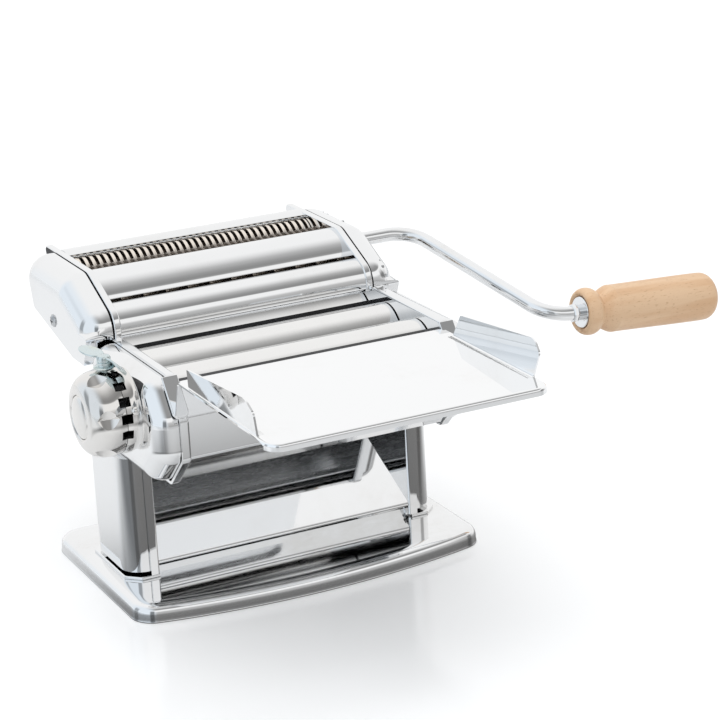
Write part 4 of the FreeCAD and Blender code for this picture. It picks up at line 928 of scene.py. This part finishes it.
@dataclass
class SmoothRollers:
    """The two smooth rollers that press the dough."""

    radius: float = 17.0
    face: float = 74.6

    def profile(self, journal: float, left: float, right: float) -> list[Spot]:
        """Roller with eased rims and a journal at each end."""
        face, rim, ease = self.face, self.radius, 0.5
        eased_rim = [(face, rim - 0.6), (face - 0.2, rim - 0.2), (face - 0.6, rim)]
        rise = [(left, 0), (left, journal - ease), (left + ease, journal), (-face, journal)]
        rise += [(-place, reach) for place, reach in eased_rim]
        return rise + eased_rim[::-1] + [(face, journal), (right - ease, journal), (right, journal - ease)]

    def build(self) -> None:
        """Make both rollers and dress them."""
        driven = self.profile(DRIVEN_JOURNAL, SHAFT_START, DRIVEN_END) + socket(DRIVEN_END)
        rear = Workpiece.lathe("rear_press_roller", driven, REAR_AXIS, ROLLER_HEIGHT)
        rear.carve(socket_key(DRIVEN_END, REAR_AXIS, ROLLER_HEIGHT))
        rear.done(ROLLER_STEEL, "rear_roller", ["rear_roller"])
        free = self.profile(FREE_JOURNAL, SHAFT_START - 1, FREE_END) + [(FREE_END, 0)]
        front = Workpiece.lathe("front_press_roller", free, FRONT_AXIS, ROLLER_HEIGHT)
        front.done(ROLLER_STEEL, "front_roller", ["front_roller"])


@dataclass
class GapKnob:
    """Knob that sets the gap: fixed collar, domed cap that pulls out, end disc and locking wing screw."""

    y: float = FRONT_AXIS
    z: float = ROLLER_HEIGHT
    foot: float = 93.0
    split: float = 101.7
    end: float = 120.7
    rim: float = 21.8
    hub: float = 103.9
    web: float = 105.7
    notch: float = 113.1
    wall: float = 2.4
    face: float = 11.5
    sides: int = 128

    @property
    def within(self) -> float:
        """Radius of the inner side of the wall."""
        return self.rim - self.wall

    def about(self, turn: float) -> Matrix:
        """Turn about the knob's axis, in degrees from +Y towards +Z."""
        centre = Matrix.Translation((0, self.y, self.z))
        return centre @ turned(turn, "X") @ centre.inverted()

    def windows(self, low: float, high: float) -> list[Workpiece]:
        """Tools that cut the windows beside the split."""
        half, first, pitch, count = 2.5, 15.6, 22.8, 9
        reach = self.y + self.rim
        tool = bar("window", (low, reach - 6, self.z - half), (high, reach + 5, self.z + half))
        return tool.fan(self.about(first + pitch * i) for i in range(count))

    def scallops(self) -> list[Workpiece]:
        """Tools that cut the leaf-shaped finger notches, each a wheel with a sharp rim."""
        wheel, lean, half, depth, first, count = 9.0, 0.52, 7, 3.0, 52, 6
        side = wheel - half * lean
        profile = [(-half, 0), (-half, side), (0, wheel), (half, side), (half, 0)]
        tool = Workpiece.lathe("notch", profile, 0, 0, 64, Plane.TOP)
        tool.move(Matrix.Translation((-self.notch, self.y + self.rim - depth + wheel, self.z)))
        return tool.fan(self.about(first + 360 / count * i) for i in range(count))

    def cap(self) -> Workpiece:
        """Domed cap."""
        bulge = [(0, 0), (4, 0.7), (8, 0.6), (12, -0.5), (15.2, -2.6), (17.2, -5.4)]
        brow = [(-(self.end - 1.0), self.face + 1.6), (-(self.end - 1.2), self.face + 0.6)]
        dome = eased([(-(self.split + out), self.rim + rise) for out, rise in bulge] + brow, 4)
        seat, lodge, web = self.face + 0.1, 9.0, self.web - 2
        inside = [
            (-(self.end - 1.6), seat), (-(self.end - 3), seat), (-(self.end - 3), lodge), (-(self.end - 4), lodge),
            (-self.web, self.within - 2), (-self.web, ROD_BORE), (-web, ROD_BORE), (-web, self.within),
            (-self.split, self.within),
        ]
        piece = Workpiece.lathe("knob_dome", dome + inside, self.y, self.z, self.sides)
        hole = Workpiece.lathe("screw_hole", [(0, 0), (0, 2.1), (30, 2.1), (30, 0)], 0, 0, 32, Plane.TOP)
        hole.move(Matrix.Translation((-self.hub, self.y, self.z + 10)))
        piece.carve(*self.scallops(), *self.windows(-(self.split + 3), -(self.split - 1)), hole)
        # Painted shade: the cap's inner faces are made dark so that the windows look shadowed.
        return piece.paint(PAINTED_SHADE, self.is_inside)

    def is_inside(self, mark: Mark) -> bool:
        """Whether a face lies on the inner side of the knob's wall, where the windows show it; such faces are painted
        dark as the shade inside the knob.
        """
        reach, slack, deep = math.hypot(mark.mid.y - self.y, mark.mid.z - self.z), 0.2, 7.2
        return reach < self.within + slack and mark.mid.x > -(self.split + deep)

    def collar(self) -> Workpiece:
        """Fixed collar that bulges between the housing and the split."""
        top = self.split - 0.3
        bulge = eased([
            (-self.foot, 21.4), (-(self.foot + 0.6), 21.3), (-(self.foot + 3), 22.2), (-(self.foot + 6), 22.3),
            (-top, self.rim),
        ], 4)
        inside = [
            (-top, self.within), (-(self.foot + 2), self.within), (-(self.foot + 2), ROD_BORE),
            (-(self.foot - SHEET), ROD_BORE), (-(self.foot - SHEET), 6.0), (-self.foot, 6.0),
        ]
        piece = Workpiece.lathe("knob_foot", bulge + inside, self.y, self.z, self.sides)
        piece.carve(*self.windows(-(top + 1), -(self.split - 3)))
        # Painted shade: the collar's inner faces are made dark so that the windows look shadowed.
        return piece.paint(PAINTED_SHADE, self.is_inside)

    def stud(self) -> Workpiece:
        """Small ball beside the windows that shows the knob's setting."""
        Workpiece.release()
        turn, reach, radius = math.radians(166), 22.4, 2.3
        spot = Vector((-(self.foot + 4.2), self.y + reach * math.cos(turn), self.z + reach * math.sin(turn)))
        bpy.ops.mesh.primitive_uv_sphere_add(segments=32, ring_count=16, radius=radius * MM, location=spot * MM)
        bpy.ops.object.transform_apply(location=True)
        return Workpiece("setting_stud", bpy.context.object)

    def petal(self, line: Sequence[Spot]) -> Workpiece:
        """Petal of the wing screw: a bent strip cut to a rounded leaf.

        Args:
            line: the strip's lower face, from the hub outwards, as distance and height.

        Returns:
            The petal, in the screw's own place.
        """
        wall, half, count = 1.1, 5.0, 40
        strip = Workpiece.block("strip", Plane.FRONT, sheet_section(eased(line), wall, 0), -half - 1, half + 1)
        near, far = line[0][0], line[-1][0]
        middle, reach = (near + far) / 2, abs(far - near) / 2
        turns = [2 * math.pi * i / count for i in range(count)]
        leaf = [(middle + reach * math.cos(t), half * math.sin(t)) for t in turns]
        strip.carve(Workpiece.block("leaf", Plane.TOP, leaf, -8.0, 16.0), operation="INTERSECT")

        def is_rim(mark: Mark) -> bool:
            """Whether an edge runs round the leaf."""
            share = math.hypot((mark.mid.x - middle) / reach, mark.mid.y / half)
            return abs(mark.way.z) < 0.7 and abs(share - 1) < 0.02

        return strip.pick(Element.EDGE, is_rim).bevel(0.4, 3)

    def wing_screw(self) -> Workpiece:
        """Locking screw with its grooved hub, one level petal and one that droops."""
        profile = [
            (-3, 0), (-3, 1.6), (-2.6, 1.95), (0.6, 1.95), (0.9, 5.2), (1.5, 5.6), (2.0, 5.0), (2.3, 3.7), (2.8, 3.4),
            (3.1, 3.7), (3.9, 3.7), (4.2, 3.4), (4.6, 3.7), (6.4, 3.7), (7.4, 3.1), (7.9, 1.8), (8.0, 0),
        ]
        hub = Workpiece.lathe("wing_hub", profile, 0, 0, 48, Plane.TOP)
        twist = Matrix.Translation((0, 0, 3.2)) @ turned(-42, "X")
        hub.join(
            self.petal([(-16.8, 8.6), (-13, 8.1), (-8, 7.3), (-1.0, 6.4)]),
            self.petal([(1.0, 0.8), (6, 0.9), (11, -0.4), (16.8, -3.2)]).move(twist),
        )
        spot = Matrix.Translation((-self.hub, self.y, self.z + self.rim + 0.9))
        return hub.move(spot @ turned(-68, "Z"))

    def build(self) -> None:
        """Make the knob and dress it."""
        self.collar().join(self.stud()).done(KNOB_CHROME, "frame", ["knob_collar"])
        self.cap().done(KNOB_CHROME, "knob_cap", ["knob_cap"])
        rise, edge, back, steps = 2.6, self.end - 2.2, self.end - 3, 12
        turns = [math.pi / 2 * i / steps for i in range(steps + 1)]
        disc = [(-(edge + rise * math.cos(t)), self.face * math.sin(t)) for t in turns]
        disc += [(-back, self.face), (-back, 0)]
        Workpiece.lathe("knob_disc", disc, self.y, self.z).done(KNOB_CHROME, "knob_cap", ["knob_face"])
        self.wing_screw().done(ZINC, "wing_screw", ["wing_screw"])


@dataclass
class Tray:
    """Dough tray: sheet with a rolled front lip, folded flaps and two feet on the side plates' rims."""

    half: float = 76.0
    narrow: float = 74.7
    front: float = -183.0
    step: float = -73.0
    rear: float = -70.0
    top: float = 131.7
    lip: float = 4.0
    wall: float = 1.0
    lean: float = 11.0
    corner: float = 9.0
    flap_height: float = 24.0
    rim_front: Spot = (-82.0, 115.0)
    rim_rise: Spot = (15.0, 20.5)

    def sheet(self) -> Workpiece:
        """Bed of the tray with its lip turned down along the front and round its corners."""
        points = [
            (-self.half, self.front), (self.half, self.front), (self.half, self.step), (self.narrow, self.step),
            (self.narrow, self.rear), (-self.narrow, self.rear), (-self.narrow, self.step), (-self.half, self.step),
        ]
        outline = rounded(points, [self.corner, self.corner, 0, 0, 2, 2, 0, 0], steps=10)
        piece = Workpiece.block("tray_bed", Plane.TOP, outline, self.top - self.lip, self.top)
        behind = self.front + self.corner
        piece.pick(Element.EDGE, lambda m: m.low.z > self.top - NEAR and m.mid.y < behind).bevel(2.0, 6)
        piece.drop(Element.FACE, lambda m: m.high.z < self.top - self.lip + NEAR)
        piece.drop(Element.FACE, lambda m: abs(m.way.z) < 0.1 and m.mid.y > behind - 1)
        return piece.wall(self.wall)

    def flap(self, side: int) -> Workpiece:
        """Flap folded up from the bed with a round bend."""
        lean = math.radians(self.lean)
        edge = self.half - 1.0
        tip = (edge + self.flap_height * math.sin(lean), self.top - 0.7 + self.flap_height * math.cos(lean))
        line = [(edge - 4.0, self.top - 1.0), (edge, self.top - 1.0), tip]
        section = [(side * a, b) for a, b in sheet_section(line, self.wall, 1.8)]
        piece = Workpiece.block("flap", Plane.FRONT, section if side > 0 else section[::-1], -172, -82)
        base = self.top - 1.2
        points = [
            (-84, base - 3), (-84, base + 0.5), (-89, base + 13), (-162, base + 19.6), (-169, base + 13.6),
            (-166, base - 0.5), (-166, base - 3),
        ]
        shape = rounded(points, [0, 1, 1.2, 8, 3, 1, 0], steps=8)
        keep = Workpiece.block("flap_shape", Plane.SIDE, shape, *sorted((side * 60, side * 100)))
        return piece.carve(keep, operation="INTERSECT")

    def foot(self, side: int) -> Workpiece:
        """Round-ended foot that lies on the front slope of a side plate's rim."""
        length, width, wall, inner = 23.0, 8.5, SHEET, 74.5
        points = [(0, 0), (width, 0), (width, length), (0, length)]
        outline = rounded(points, [3.2, 3.2, 0.5, 0.5], steps=8)
        piece = Workpiece.block("tray_foot", Plane.TOP, outline, 0.0, wall)
        piece.pick(Element.EDGE, lambda m: m.low.z > wall - NEAR).bevel(0.5, 3)
        slope = math.atan2(self.rim_rise[1], self.rim_rise[0])
        x = inner if side > 0 else -(inner + width)
        along, out = Vector((0, math.cos(slope), math.sin(slope))), Vector((0, -math.sin(slope), math.cos(slope)))
        spot = Vector((x, *self.rim_front)) + along * 1.2 + out * 0.1
        return piece.move(Matrix.Translation(spot) @ Matrix.Rotation(slope, 4, "X"))

    def build(self) -> None:
        """Make the tray and dress it."""
        pieces = [make(side) for make in (self.flap, self.foot) for side in (-1, 1)]
        self.sheet().join(*pieces).done(TRAY_STEEL, "tray", ["tray"])


@dataclass(frozen=True)
class Cut:
    """Ridges of a pair of cutting rollers; the halves are half their widths on the driven and on the free one."""

    pitch: float
    radius: float
    depth: float
    halves: Spot
    ease: float


NARROW = Cut(4.0, 12.0, 3.0, (0.8, 1.1), 0.42)
WIDE = Cut(13.0, 10.0, 2.4, (3.2, 3.2), 0.3)


@dataclass
class CutterHead:
    """Cutter head: side plates, drawn covers, three tube covers, screws and two pairs of ridged rollers."""

    inner: float = 72.6
    wall: float = 4.0
    joint: float = 0.9
    face: float = 93.0
    shoulder: float = 13.5
    top: float = 161.5
    seat: float = 119.05
    front: float = 12.0
    low_limit: float = 136.0
    seat_end: float = 134.2
    ridge_end: float = 72.3
    play: float = 0.05
    port: float = 8.0
    narrow_height: float = 146.4
    wide_height: float = 136.7

    @property
    def outer(self) -> float:
        """Outer face of the side plates."""
        return self.inner + self.wall

    def shafts(self) -> tuple[tuple[str, float, float, Cut, bool], ...]:
        """The cutting rollers: name, axis along Y and Z, ridges, whether the crank fits."""
        return (
            ("narrow_drive", 66.5, self.narrow_height, NARROW, True),
            ("narrow_follow", 90.0, self.narrow_height, NARROW, False),
            ("wide_drive", 43.5, self.wide_height, WIDE, True),
            ("wide_follow", 24.5, self.wide_height, WIDE, False),
        )

    def outline(self, inset: float = 0.0) -> list[Spot]:
        """Side of the head, seated on the body and rising to the back; the inset lowers its top and front."""
        front, top = self.front + inset, self.top - inset
        return [
            (front, 133.54), (front, 144.5 - inset * 0.64), (49 + inset * 0.2, top), (117 - inset * 1.3, top),
            (109 - inset, self.low_limit), (36, self.seat), (19.05, self.seat),
        ][::-1]

    def plate(self, name: str) -> Workpiece:
        """Side plate with its shaft holes and eased edges; its outer face is painted dark as the shade in the gap
        beside the cover.
        """
        outline = rounded(self.outline(), [0.8, 1.5, 3, 3, 11, 11, 0.8], steps=8)
        piece = Workpiece.block(name, Plane.SIDE, outline, self.inner, self.outer)
        piece.pick(Element.EDGE, lambda m: abs(m.way.x) < 0.1 and m.mid.z > self.seat_end).bevel(0.9, 4)
        # Painted shade: the outer face, seen in the gap under the cover, is made dark.
        piece.paint(PAINTED_SHADE, lambda m: m.low.x > self.outer - 2 * NEAR)
        for _, y, z, _, driven in self.shafts():
            journal = (DRIVEN_JOURNAL if driven else FREE_JOURNAL) + self.play
            piece.carve(rod("hole", journal, self.inner - 1, self.outer + 1, y, z))
        return piece

    def cover_shell(self, name: str, ported: bool) -> Workpiece:
        """Drawn cover, round along its front, top and rear, open towards its plate."""
        outline = rounded(self.outline(0.7), [0, 0, 0, 14, 14, 14, 0], steps=10)
        start = self.outer + self.joint
        piece = Workpiece.block(name, Plane.SIDE, outline, start, self.face)
        piece.pick(Element.EDGE, lambda m: m.low.x > self.face - NEAR and m.mid.z > self.low_limit)
        piece.bevel(self.shoulder, 12)
        piece.drop(Element.FACE, lambda m: m.high.x < start + NEAR).wall(SHEET)
        for _, y, z, _, driven in self.shafts():
            if ported and driven:
                piece.carve(rod("port", self.port, self.face - 6, self.face + 2, y, z, 64))
        return piece

    def tube(self, name: str, centre: Spot, radius: float, first: float, last: float, node: str) -> None:
        """Part of a tube over a cutting roller, with eased long edges."""
        steps = max(12, int((last - first) / 3))
        outer = arc(centre, radius, first, last, steps)
        inner = arc(centre, radius - SHEET, last, first, steps)
        piece = Workpiece.block(name, Plane.SIDE, outer + inner, -self.inner, self.inner)
        corners = [outer[0], outer[-1], inner[0], inner[-1]]

        def is_long_edge(mark: Mark) -> bool:
            """Whether the mark is one of the tube's four long edges."""
            near = any(math.hypot(mark.mid.y - y, mark.mid.z - z) < 2 * NEAR for y, z in corners)
            return near and abs(mark.way.x) > 0.9

        piece.pick(Element.EDGE, is_long_edge).bevel(0.35, 2)
        piece.done(POLISHED, "cutter_head", [node], sharp=25.0)

    def screw(self, side: int) -> Workpiece:
        """Cross-slotted round-headed screw in a cover's face."""
        y, z, radius, start = 63.0, 133.0, 3.6, self.face
        head = [(-1, 0), (-1, radius), (0.35, radius), (0.95, radius - 0.7), (1.35, radius - 1.8), (1.5, 0)]
        piece = Workpiece.lathe("cover_screw", [(start + rise, reach) for rise, reach in head], y, z, 48)
        long, thin = 2.2, 0.42
        for a, b in ((long, thin), (thin, long)):
            piece.carve(bar("slot", (start + 0.7, y - a, z - b), (start + 3, y + a, z + b)))
        return piece if side > 0 else piece.swap()

    def rings(self, cut: Cut, driven: bool) -> list[Spot]:
        """Profile of a cutting roller: ridges with eased rims, and the grooves between them."""
        half, shift = (cut.halves[0], 0.5) if driven else (cut.halves[1], 0.0)
        end, ease, radius, floor = self.ridge_end, cut.ease, cut.radius, cut.radius - cut.depth
        rim = [(0.0, floor), (0.0, radius - ease), (ease * 0.35, radius - ease * 0.3), (ease, radius)]
        count = int(end * 2 / cut.pitch) + 1
        line: list[Spot] = []
        for i in range(-count, count + 1):
            middle = (i + shift) * cut.pitch
            low, high = max(middle - half, -end), min(middle + half, end)
            if high - low >= 2 * ease:
                line += [(low + x, r) for x, r in rim] + [(high - x, r) for x, r in reversed(rim)]
        return line

    def roller(self, name: str, y: float, z: float, cut: Cut, driven: bool) -> None:
        """Cutting roller with its journals and, on a driven one, the crank socket."""
        end, hub, rim = self.ridge_end + 0.02, 7.4, cut.radius - 0.6
        journal, right = (DRIVEN_JOURNAL, DRIVEN_END) if driven else (FREE_JOURNAL, FREE_END)
        profile = [(SHAFT_START, 0), (SHAFT_START, journal), (-end, journal), (-end, hub)]
        profile += self.rings(cut, driven) + [(end, hub), (end, journal), (right, journal)]
        profile += socket(right) if driven else [(right, 0)]
        piece = Workpiece.lathe(name + "_ridges", profile, y, z, 48)
        if driven:
            piece.carve(socket_key(right, y, z))

        def is_groove(mark: Mark) -> bool:
            """Whether a face lies between the ridges."""
            return abs(mark.mid.x) < self.ridge_end and math.hypot(mark.mid.y - y, mark.mid.z - z) < rim

        # The rear roller of each pair keeps the bright finish; the front one and the groove floors are painted dark as
        # shade.
        rear = (cut is NARROW) != driven  # the rear roller of each pair is the bright one
        piece.paint(SHADED_CUTTER, is_groove)
        piece.done(CUTTER_STEEL if rear else SHADED_CUTTER, name, [name + "_roller"], weigh=False)

    def build(self) -> None:
        """Make the cutter head and dress it."""
        right = self.plate("head_plate")
        right.mirror("left_head_plate").done(POLISHED, "cutter_head", ["cutter_left_plate"])
        right.done(POLISHED, "cutter_head", ["cutter_right_plate"])
        self.cover_shell("head_cover", True).done(POLISHED, "cutter_head", ["cutter_right_cover"])
        self.cover_shell("left_head_cover", False).swap().done(POLISHED, "cutter_head", ["cutter_left_cover"])
        self.tube("front_tube", (25.0, 136.0), 12.4, 40, 202, "cutter_front_cover")
        self.tube("middle_tube", (54.0, 139.7), 20.0, 68, 157, "cutter_middle_cover")
        self.tube("rear_tube", (97.0, 146.7), 15.0, -20, 118, "cutter_rear_cover")
        self.screw(1).join(self.screw(-1)).done(GEAR_STEEL, "cutter_head", ["cutter_screws"])
        for shaft in self.shafts():
            self.roller(*shaft)


@dataclass
class Crank:
    """Bent rod, the stop ring on it and the turning grip."""

    start: tuple[float, float, float] = (82.15, 66.5, 146.4)
    first: tuple[float, float, float] = (128.6, 66.5, 146.4)
    second: tuple[float, float, float] = (153.344, -48.699, 118.871)
    bend: float = 19.0
    lean: float = 3.5
    grip_start: float = 19.5
    grip_end: float = 105.4
    rod_inset: float = 5.6
    sides: int = 32
    bend_steps: int = 10

    @property
    def handle(self) -> Vector:
        """Way of the handle, outwards."""
        lean = math.radians(self.lean)
        return Vector((math.cos(lean), 0, -math.sin(lean)))

    def at_handle(self, reach: float) -> Matrix:
        """Place along the handle, for a piece turned about X."""
        spot = Vector(self.second) + self.handle * reach
        return Matrix.Translation(spot) @ turned(self.lean, "Y")

    def rod(self) -> Workpiece:
        """Rod drawn through its two bends, with the tongue that enters a socket's pocket."""
        x, y, z = self.start
        points = arc((y, z), ROD_RADIUS, 0.0, 360.0, self.sides)[:-1]
        piece = Workpiece.ring("crank_arm", Plane.SIDE, points, x, True)
        piece.pick(Element.FACE, lambda m: True)
        end = Vector(self.second) + self.handle * (self.grip_end - self.rod_inset)
        route = [Vector(self.start), Vector(self.first), Vector(self.second), end]
        here = route[0]
        for before, corner, after in zip(route, route[1:], route[2:]):
            back, ahead = (before - corner).normalized(), (after - corner).normalized()
            half = back.angle(ahead) / 2
            tangent = corner + back * (self.bend / math.tan(half))
            centre = corner + (back + ahead).normalized() * (self.bend / math.sin(half))
            piece.extrude(tangent - here)
            across = back.cross(ahead).normalized()
            bpy.ops.mesh.spin(steps=self.bend_steps, angle=math.pi - 2 * half, center=centre * MM, axis=across)
            here = corner + ahead * (self.bend / math.tan(half))
        piece.extrude(end - here).mend()
        deep, wide, high = 2.35, 3, 1
        return piece.join(bar("tongue", (x - deep, y - wide, z - high), (x + deep, y + wide, z + high)))

    def ferrule(self) -> Workpiece:
        """Pressed stop ring, thin neck and washer that close the grip's recess."""
        bore = ROD_RADIUS + 0.02
        stop = [(0, bore), (0, 4.7), (0.5, 5.2), (2.2, 5.3), (2.8, 4.9), (3.0, bore)]
        neck = [(3.0, bore), (3.0, 4.4), (5.6, 4.4), (5.6, bore)]
        washer = [(5.6, bore), (5.6, 8.4), (5.9, 8.7), (7.0, 8.7), (7.0, bore)]
        piece = Workpiece.lathe("stop_ring", stop, 0, 0, 8)
        piece.join(*[Workpiece.lathe("ring", profile, 0, 0, 64) for profile in (neck, washer)])
        return piece.move(self.at_handle(14.0))

    def grip(self) -> Workpiece:
        """Turned wooden grip: thick collar round the washer, narrow neck and a plain body with a round end."""
        length = self.grip_end - self.grip_start
        collar = [
            (3.2, 8.9), (1.2, 9.0), (0.3, 9.8), (0.0, 10.8), (0.7, 12.0), (2.4, 12.9), (4.9, 13.2), (7.4, 12.6),
            (9.2, 11.3),
        ]
        neck = [(10.4, 10.0), (11.2, 9.6), (12.4, 10.2), (15.0, 11.7), (17.6, 12.9)]
        body = [(19.4, 13.25), (21.5, 13.15), (40, 13.3), (60, 13.5), (length - 8, 13.5), (length - 4, 12.9)]
        end = [(length - 1.6, 11.2), (length - 0.5, 9.2), (length, 6.5), (length, 0.0)]
        outside = eased(collar + neck + body + end[:-1], 3) + end[-1:]
        profile = outside + [(length - 5, 0.0), (length - 5, ROD_BORE), (3.2, ROD_BORE)]
        return Workpiece.lathe("wooden_grip", profile, 0, 0).move(self.at_handle(self.grip_start))

    def build(self) -> None:
        """Make the crank and dress it."""
        self.rod().done(ROD_STEEL, "crank", ["crank_rod"], weigh=False)
        self.ferrule().done(ROD_STEEL, "crank", ["crank_ferrule"])
        self.grip().done(BEECH, "grip", ["grip"], sharp=50.0, weigh=False)


@dataclass
class PlainNodes:
    """Parts that keep their solid's shape and get a finish only."""

    finish: Metal = GEAR_STEEL
    endings: tuple[str, ...] = ("_gear", "_comb", "_scraper", "_block", "_bar", "_shaft", "_spring")

    def build(self) -> None:
        """Give each such part its finish."""
        for name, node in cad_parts.items():
            if name.endswith(self.endings):
                for slot in node.material_slots:
                    slot.material = self.finish.material()
                log.info("%s: keeps its solid", name)


@dataclass
class Studio:
    """Pale floor, one soft lamp, a bright room with greyer bands towards the camera, and the camera.

    The camera's place is in millimetres; the lamp, the floor and the clip distances are in metres. A band is a height
    above the horizon in degrees and its grey level; a gap is a bearing, half its width and its depth.
    """

    place: tuple[float, float, float] = (-490.7, -1145.7, 513.9)
    turn: tuple[float, float, float] = (71.8705, 2.8352, -26.6154)
    lens: float = 120.95
    sensor: float = 36.0
    clip: Spot = (0.05, 30.0)
    floor_size: float = 9.0
    floor_drop: float = 0.0002
    floor_rough: float = 0.13
    white: tuple[float, float, float, float] = (1, 1, 1, 1)
    floor_colour: tuple[float, float, float, float] = (0.86, 0.865, 0.87, 1)
    shadow_patch_colour: tuple[float, float, float, float] = (0.07, 0.068, 0.066, 1)
    far_colour: tuple[float, float, float, float] = (0.1, 0.1, 0.1, 1)
    glow: float = 0.2
    lamp_place: tuple[float, float, float] = (-0.2, 0.1, 1.7)
    lamp_aim: tuple[float, float, float] = (0, 0, 0.08)
    lamp_size: float = 1.5
    lamp_power: float = 9.0
    bands: tuple[Spot, ...] = (
        (-90, 0.20), (-4, 0.24), (2, 0.46), (15, 0.58), (20, 0.84), (24, 1.0), (38, 1.0), (41, 0.34), (46, 0.29),
        (54, 0.36), (63, 0.52), (76, 0.78), (90, 0.94),
    )
    gaps: tuple[tuple[float, float, float], ...] = ((-38, 13, 0.72), (-117, 16, 0.55), (66, 16, 0.6))

    def camera(self) -> None:
        """Camera at the photograph's angle."""
        data = bpy.data.cameras.new("photo_camera")
        data.lens, data.sensor_width, data.sensor_fit = self.lens, self.sensor, "HORIZONTAL"
        data.clip_start, data.clip_end = self.clip
        camera = bpy.data.objects.new("photo_camera", data)
        camera.location = Vector(self.place) * MM
        camera.rotation_euler = Euler([math.radians(t) for t in self.turn], "XYZ")
        bpy.context.scene.collection.objects.link(camera)
        bpy.context.scene.camera = camera

    def floor(self) -> None:
        """Smooth pale floor with faint reflections; as the metal sees it, a patch before the machine is painted dark as
        shadow, and the floor further in front is painted darker.
        """
        Workpiece.release()
        bpy.ops.mesh.primitive_plane_add(size=self.floor_size, location=(0, 0, -self.floor_drop))
        floor = bpy.context.object
        floor.name = "studio_floor"
        material = bpy.data.materials.new("studio_floor")
        material.use_nodes = True
        nodes = Nodes(material.node_tree)
        split = nodes.add("ShaderNodeSeparateXYZ")
        nodes.feed(split, 0, nodes.add("ShaderNodeTexCoord").outputs["Object"])
        x, y = split.outputs["X"], split.outputs["Y"]
        path = nodes.add("ShaderNodeLightPath").outputs
        # Painted shadow: for reflections only, the floor just before the machine is made dark.
        ahead = nodes.product(nodes.spread(y, -0.42, -0.2), nodes.spread(y, -0.07, 0.1, 1.0, 0.0))
        abreast = nodes.spread(nodes.maths("ABSOLUTE", x), 0.28, 0.46, 1.0, 0.0)
        grazing = nodes.spread(nodes.add("ShaderNodeLayerWeight", Blend=0.5).outputs["Facing"], 0.44, 0.6)
        seen = nodes.product(nodes.mirrored(path), grazing)
        shadow_patch = nodes.product(seen, nodes.product(ahead, abreast))
        # Painted reflection: for reflections only, the floor further in front is made darker.
        far = nodes.product(seen, nodes.spread(y, -0.35, -0.15, 0.3, 0.0))
        colour = nodes.blend(shadow_patch, nodes.blend(far, self.floor_colour, self.far_colour), self.shadow_patch_colour)
        shader = nodes.add("ShaderNodeBsdfPrincipled", Base_Color=colour, Roughness=self.floor_rough)
        strength = nodes.product(path["Is Camera Ray"], self.glow)
        glow = nodes.add("ShaderNodeEmission", Color=self.white, Strength=strength)
        both = nodes.add("ShaderNodeAddShader")
        nodes.feed(both, 0, shader.outputs[0])
        nodes.feed(both, 1, glow.outputs[0])
        nodes.add("ShaderNodeOutputMaterial", Surface=both.outputs[0])
        floor.data.materials.append(material)

    def lamp(self) -> None:
        """Soft square lamp overhead, aimed at the machine and out of its reflections."""
        data = bpy.data.lights.new("overhead", "AREA")
        data.shape, data.size, data.energy = "SQUARE", self.lamp_size, self.lamp_power
        lamp = bpy.data.objects.new("overhead", data)
        lamp.location = self.lamp_place
        lamp.rotation_euler = (Vector(self.lamp_aim) - Vector(self.lamp_place)).to_track_quat("-Z", "Y").to_euler()
        lamp.visible_glossy = False
        bpy.context.scene.collection.objects.link(lamp)

    def room(self) -> None:
        """World: white behind and above, greyer towards the camera, with the soft boxes' edges."""
        world = bpy.data.worlds.new("studio_room")
        world.use_nodes = True
        bpy.context.scene.world = world
        nodes = Nodes(world.node_tree)
        split = nodes.add("ShaderNodeSeparateXYZ")
        nodes.feed(split, 0, nodes.add("ShaderNodeTexCoord").outputs["Generated"])
        x, y, z = split.outputs
        rise = nodes.spread(z, -1.0, 1.0)
        rise.node.interpolation_type = "LINEAR"
        profile = nodes.add("ShaderNodeValToRGB")
        nodes.feed(profile, 0, rise)
        self.fill_ramp(profile.color_ramp, self.bands)
        facing = nodes.spread(y, -0.3, 0.25, 1.0, 0.0)
        bearing = nodes.maths("ARCTAN2", x, nodes.product(y, -1.0))
        low = nodes.spread(nodes.maths("ABSOLUTE", z), 0.3, 0.62, 1.0, 0.0)
        light = 1.0
        for middle, half, depth in self.gaps:
            away = nodes.maths("ABSOLUTE", nodes.maths("SUBTRACT", bearing, math.radians(middle)))
            dark = nodes.spread(away, math.radians(half * 0.45), math.radians(half), depth, 0.0)
            light = nodes.product(light, nodes.maths("SUBTRACT", 1.0, nodes.product(dark, low)))
        front = nodes.blend(facing, self.white, profile.outputs[0])
        side = nodes.blend(nodes.spread(x, -0.7, -0.2, 1.0, 0.0), front, (0.86, 0.93, 1.0, 1))
        room = nodes.add("ShaderNodeVectorMath", operation="SCALE")
        nodes.feed(room, 0, side)
        nodes.feed(room, "Scale", light)
        path = nodes.add("ShaderNodeLightPath").outputs
        shown = nodes.blend(nodes.mirrored(path), (0.86, 0.87, 0.88, 1), room.outputs[0])
        seen = nodes.blend(path["Is Camera Ray"], shown, self.white)
        backdrop = nodes.add("ShaderNodeBackground", Color=seen, Strength=1.0)
        nodes.add("ShaderNodeOutputWorld", Surface=backdrop.outputs[0])

    @staticmethod
    def fill_ramp(ramp: bpy.types.ColorRamp, stops: Sequence[Spot]) -> None:
        """Write a grey level for each height above the horizon, in degrees."""
        while len(ramp.elements) > 1:
            ramp.elements.remove(ramp.elements[-1])
        for i, (height, level) in enumerate(stops):
            place = (math.sin(math.radians(height)) + 1) / 2
            element = ramp.elements[0] if i == 0 else ramp.elements.new(place)
            element.position = place
            element.color = (level, level, level, 1)

    def build(self) -> None:
        """Set up the room."""
        self.camera()
        self.floor()
        self.room()
        self.lamp()
        bpy.context.scene.view_settings.view_transform = "Standard"


def main() -> None:
    """Build every sub-assembly in order and dress it."""
    logging.basicConfig(level=logging.INFO, format="%(message)s")
    for part in (
        Foot(), SideFrame(), InnerSheets(), SmoothRollers(), GapKnob(), Tray(), CutterHead(), Crank(), PlainNodes(),
        Studio(),
    ):
        log.info("%s", type(part).__name__)
        part.build()


if __name__ == "__main__":
    main()
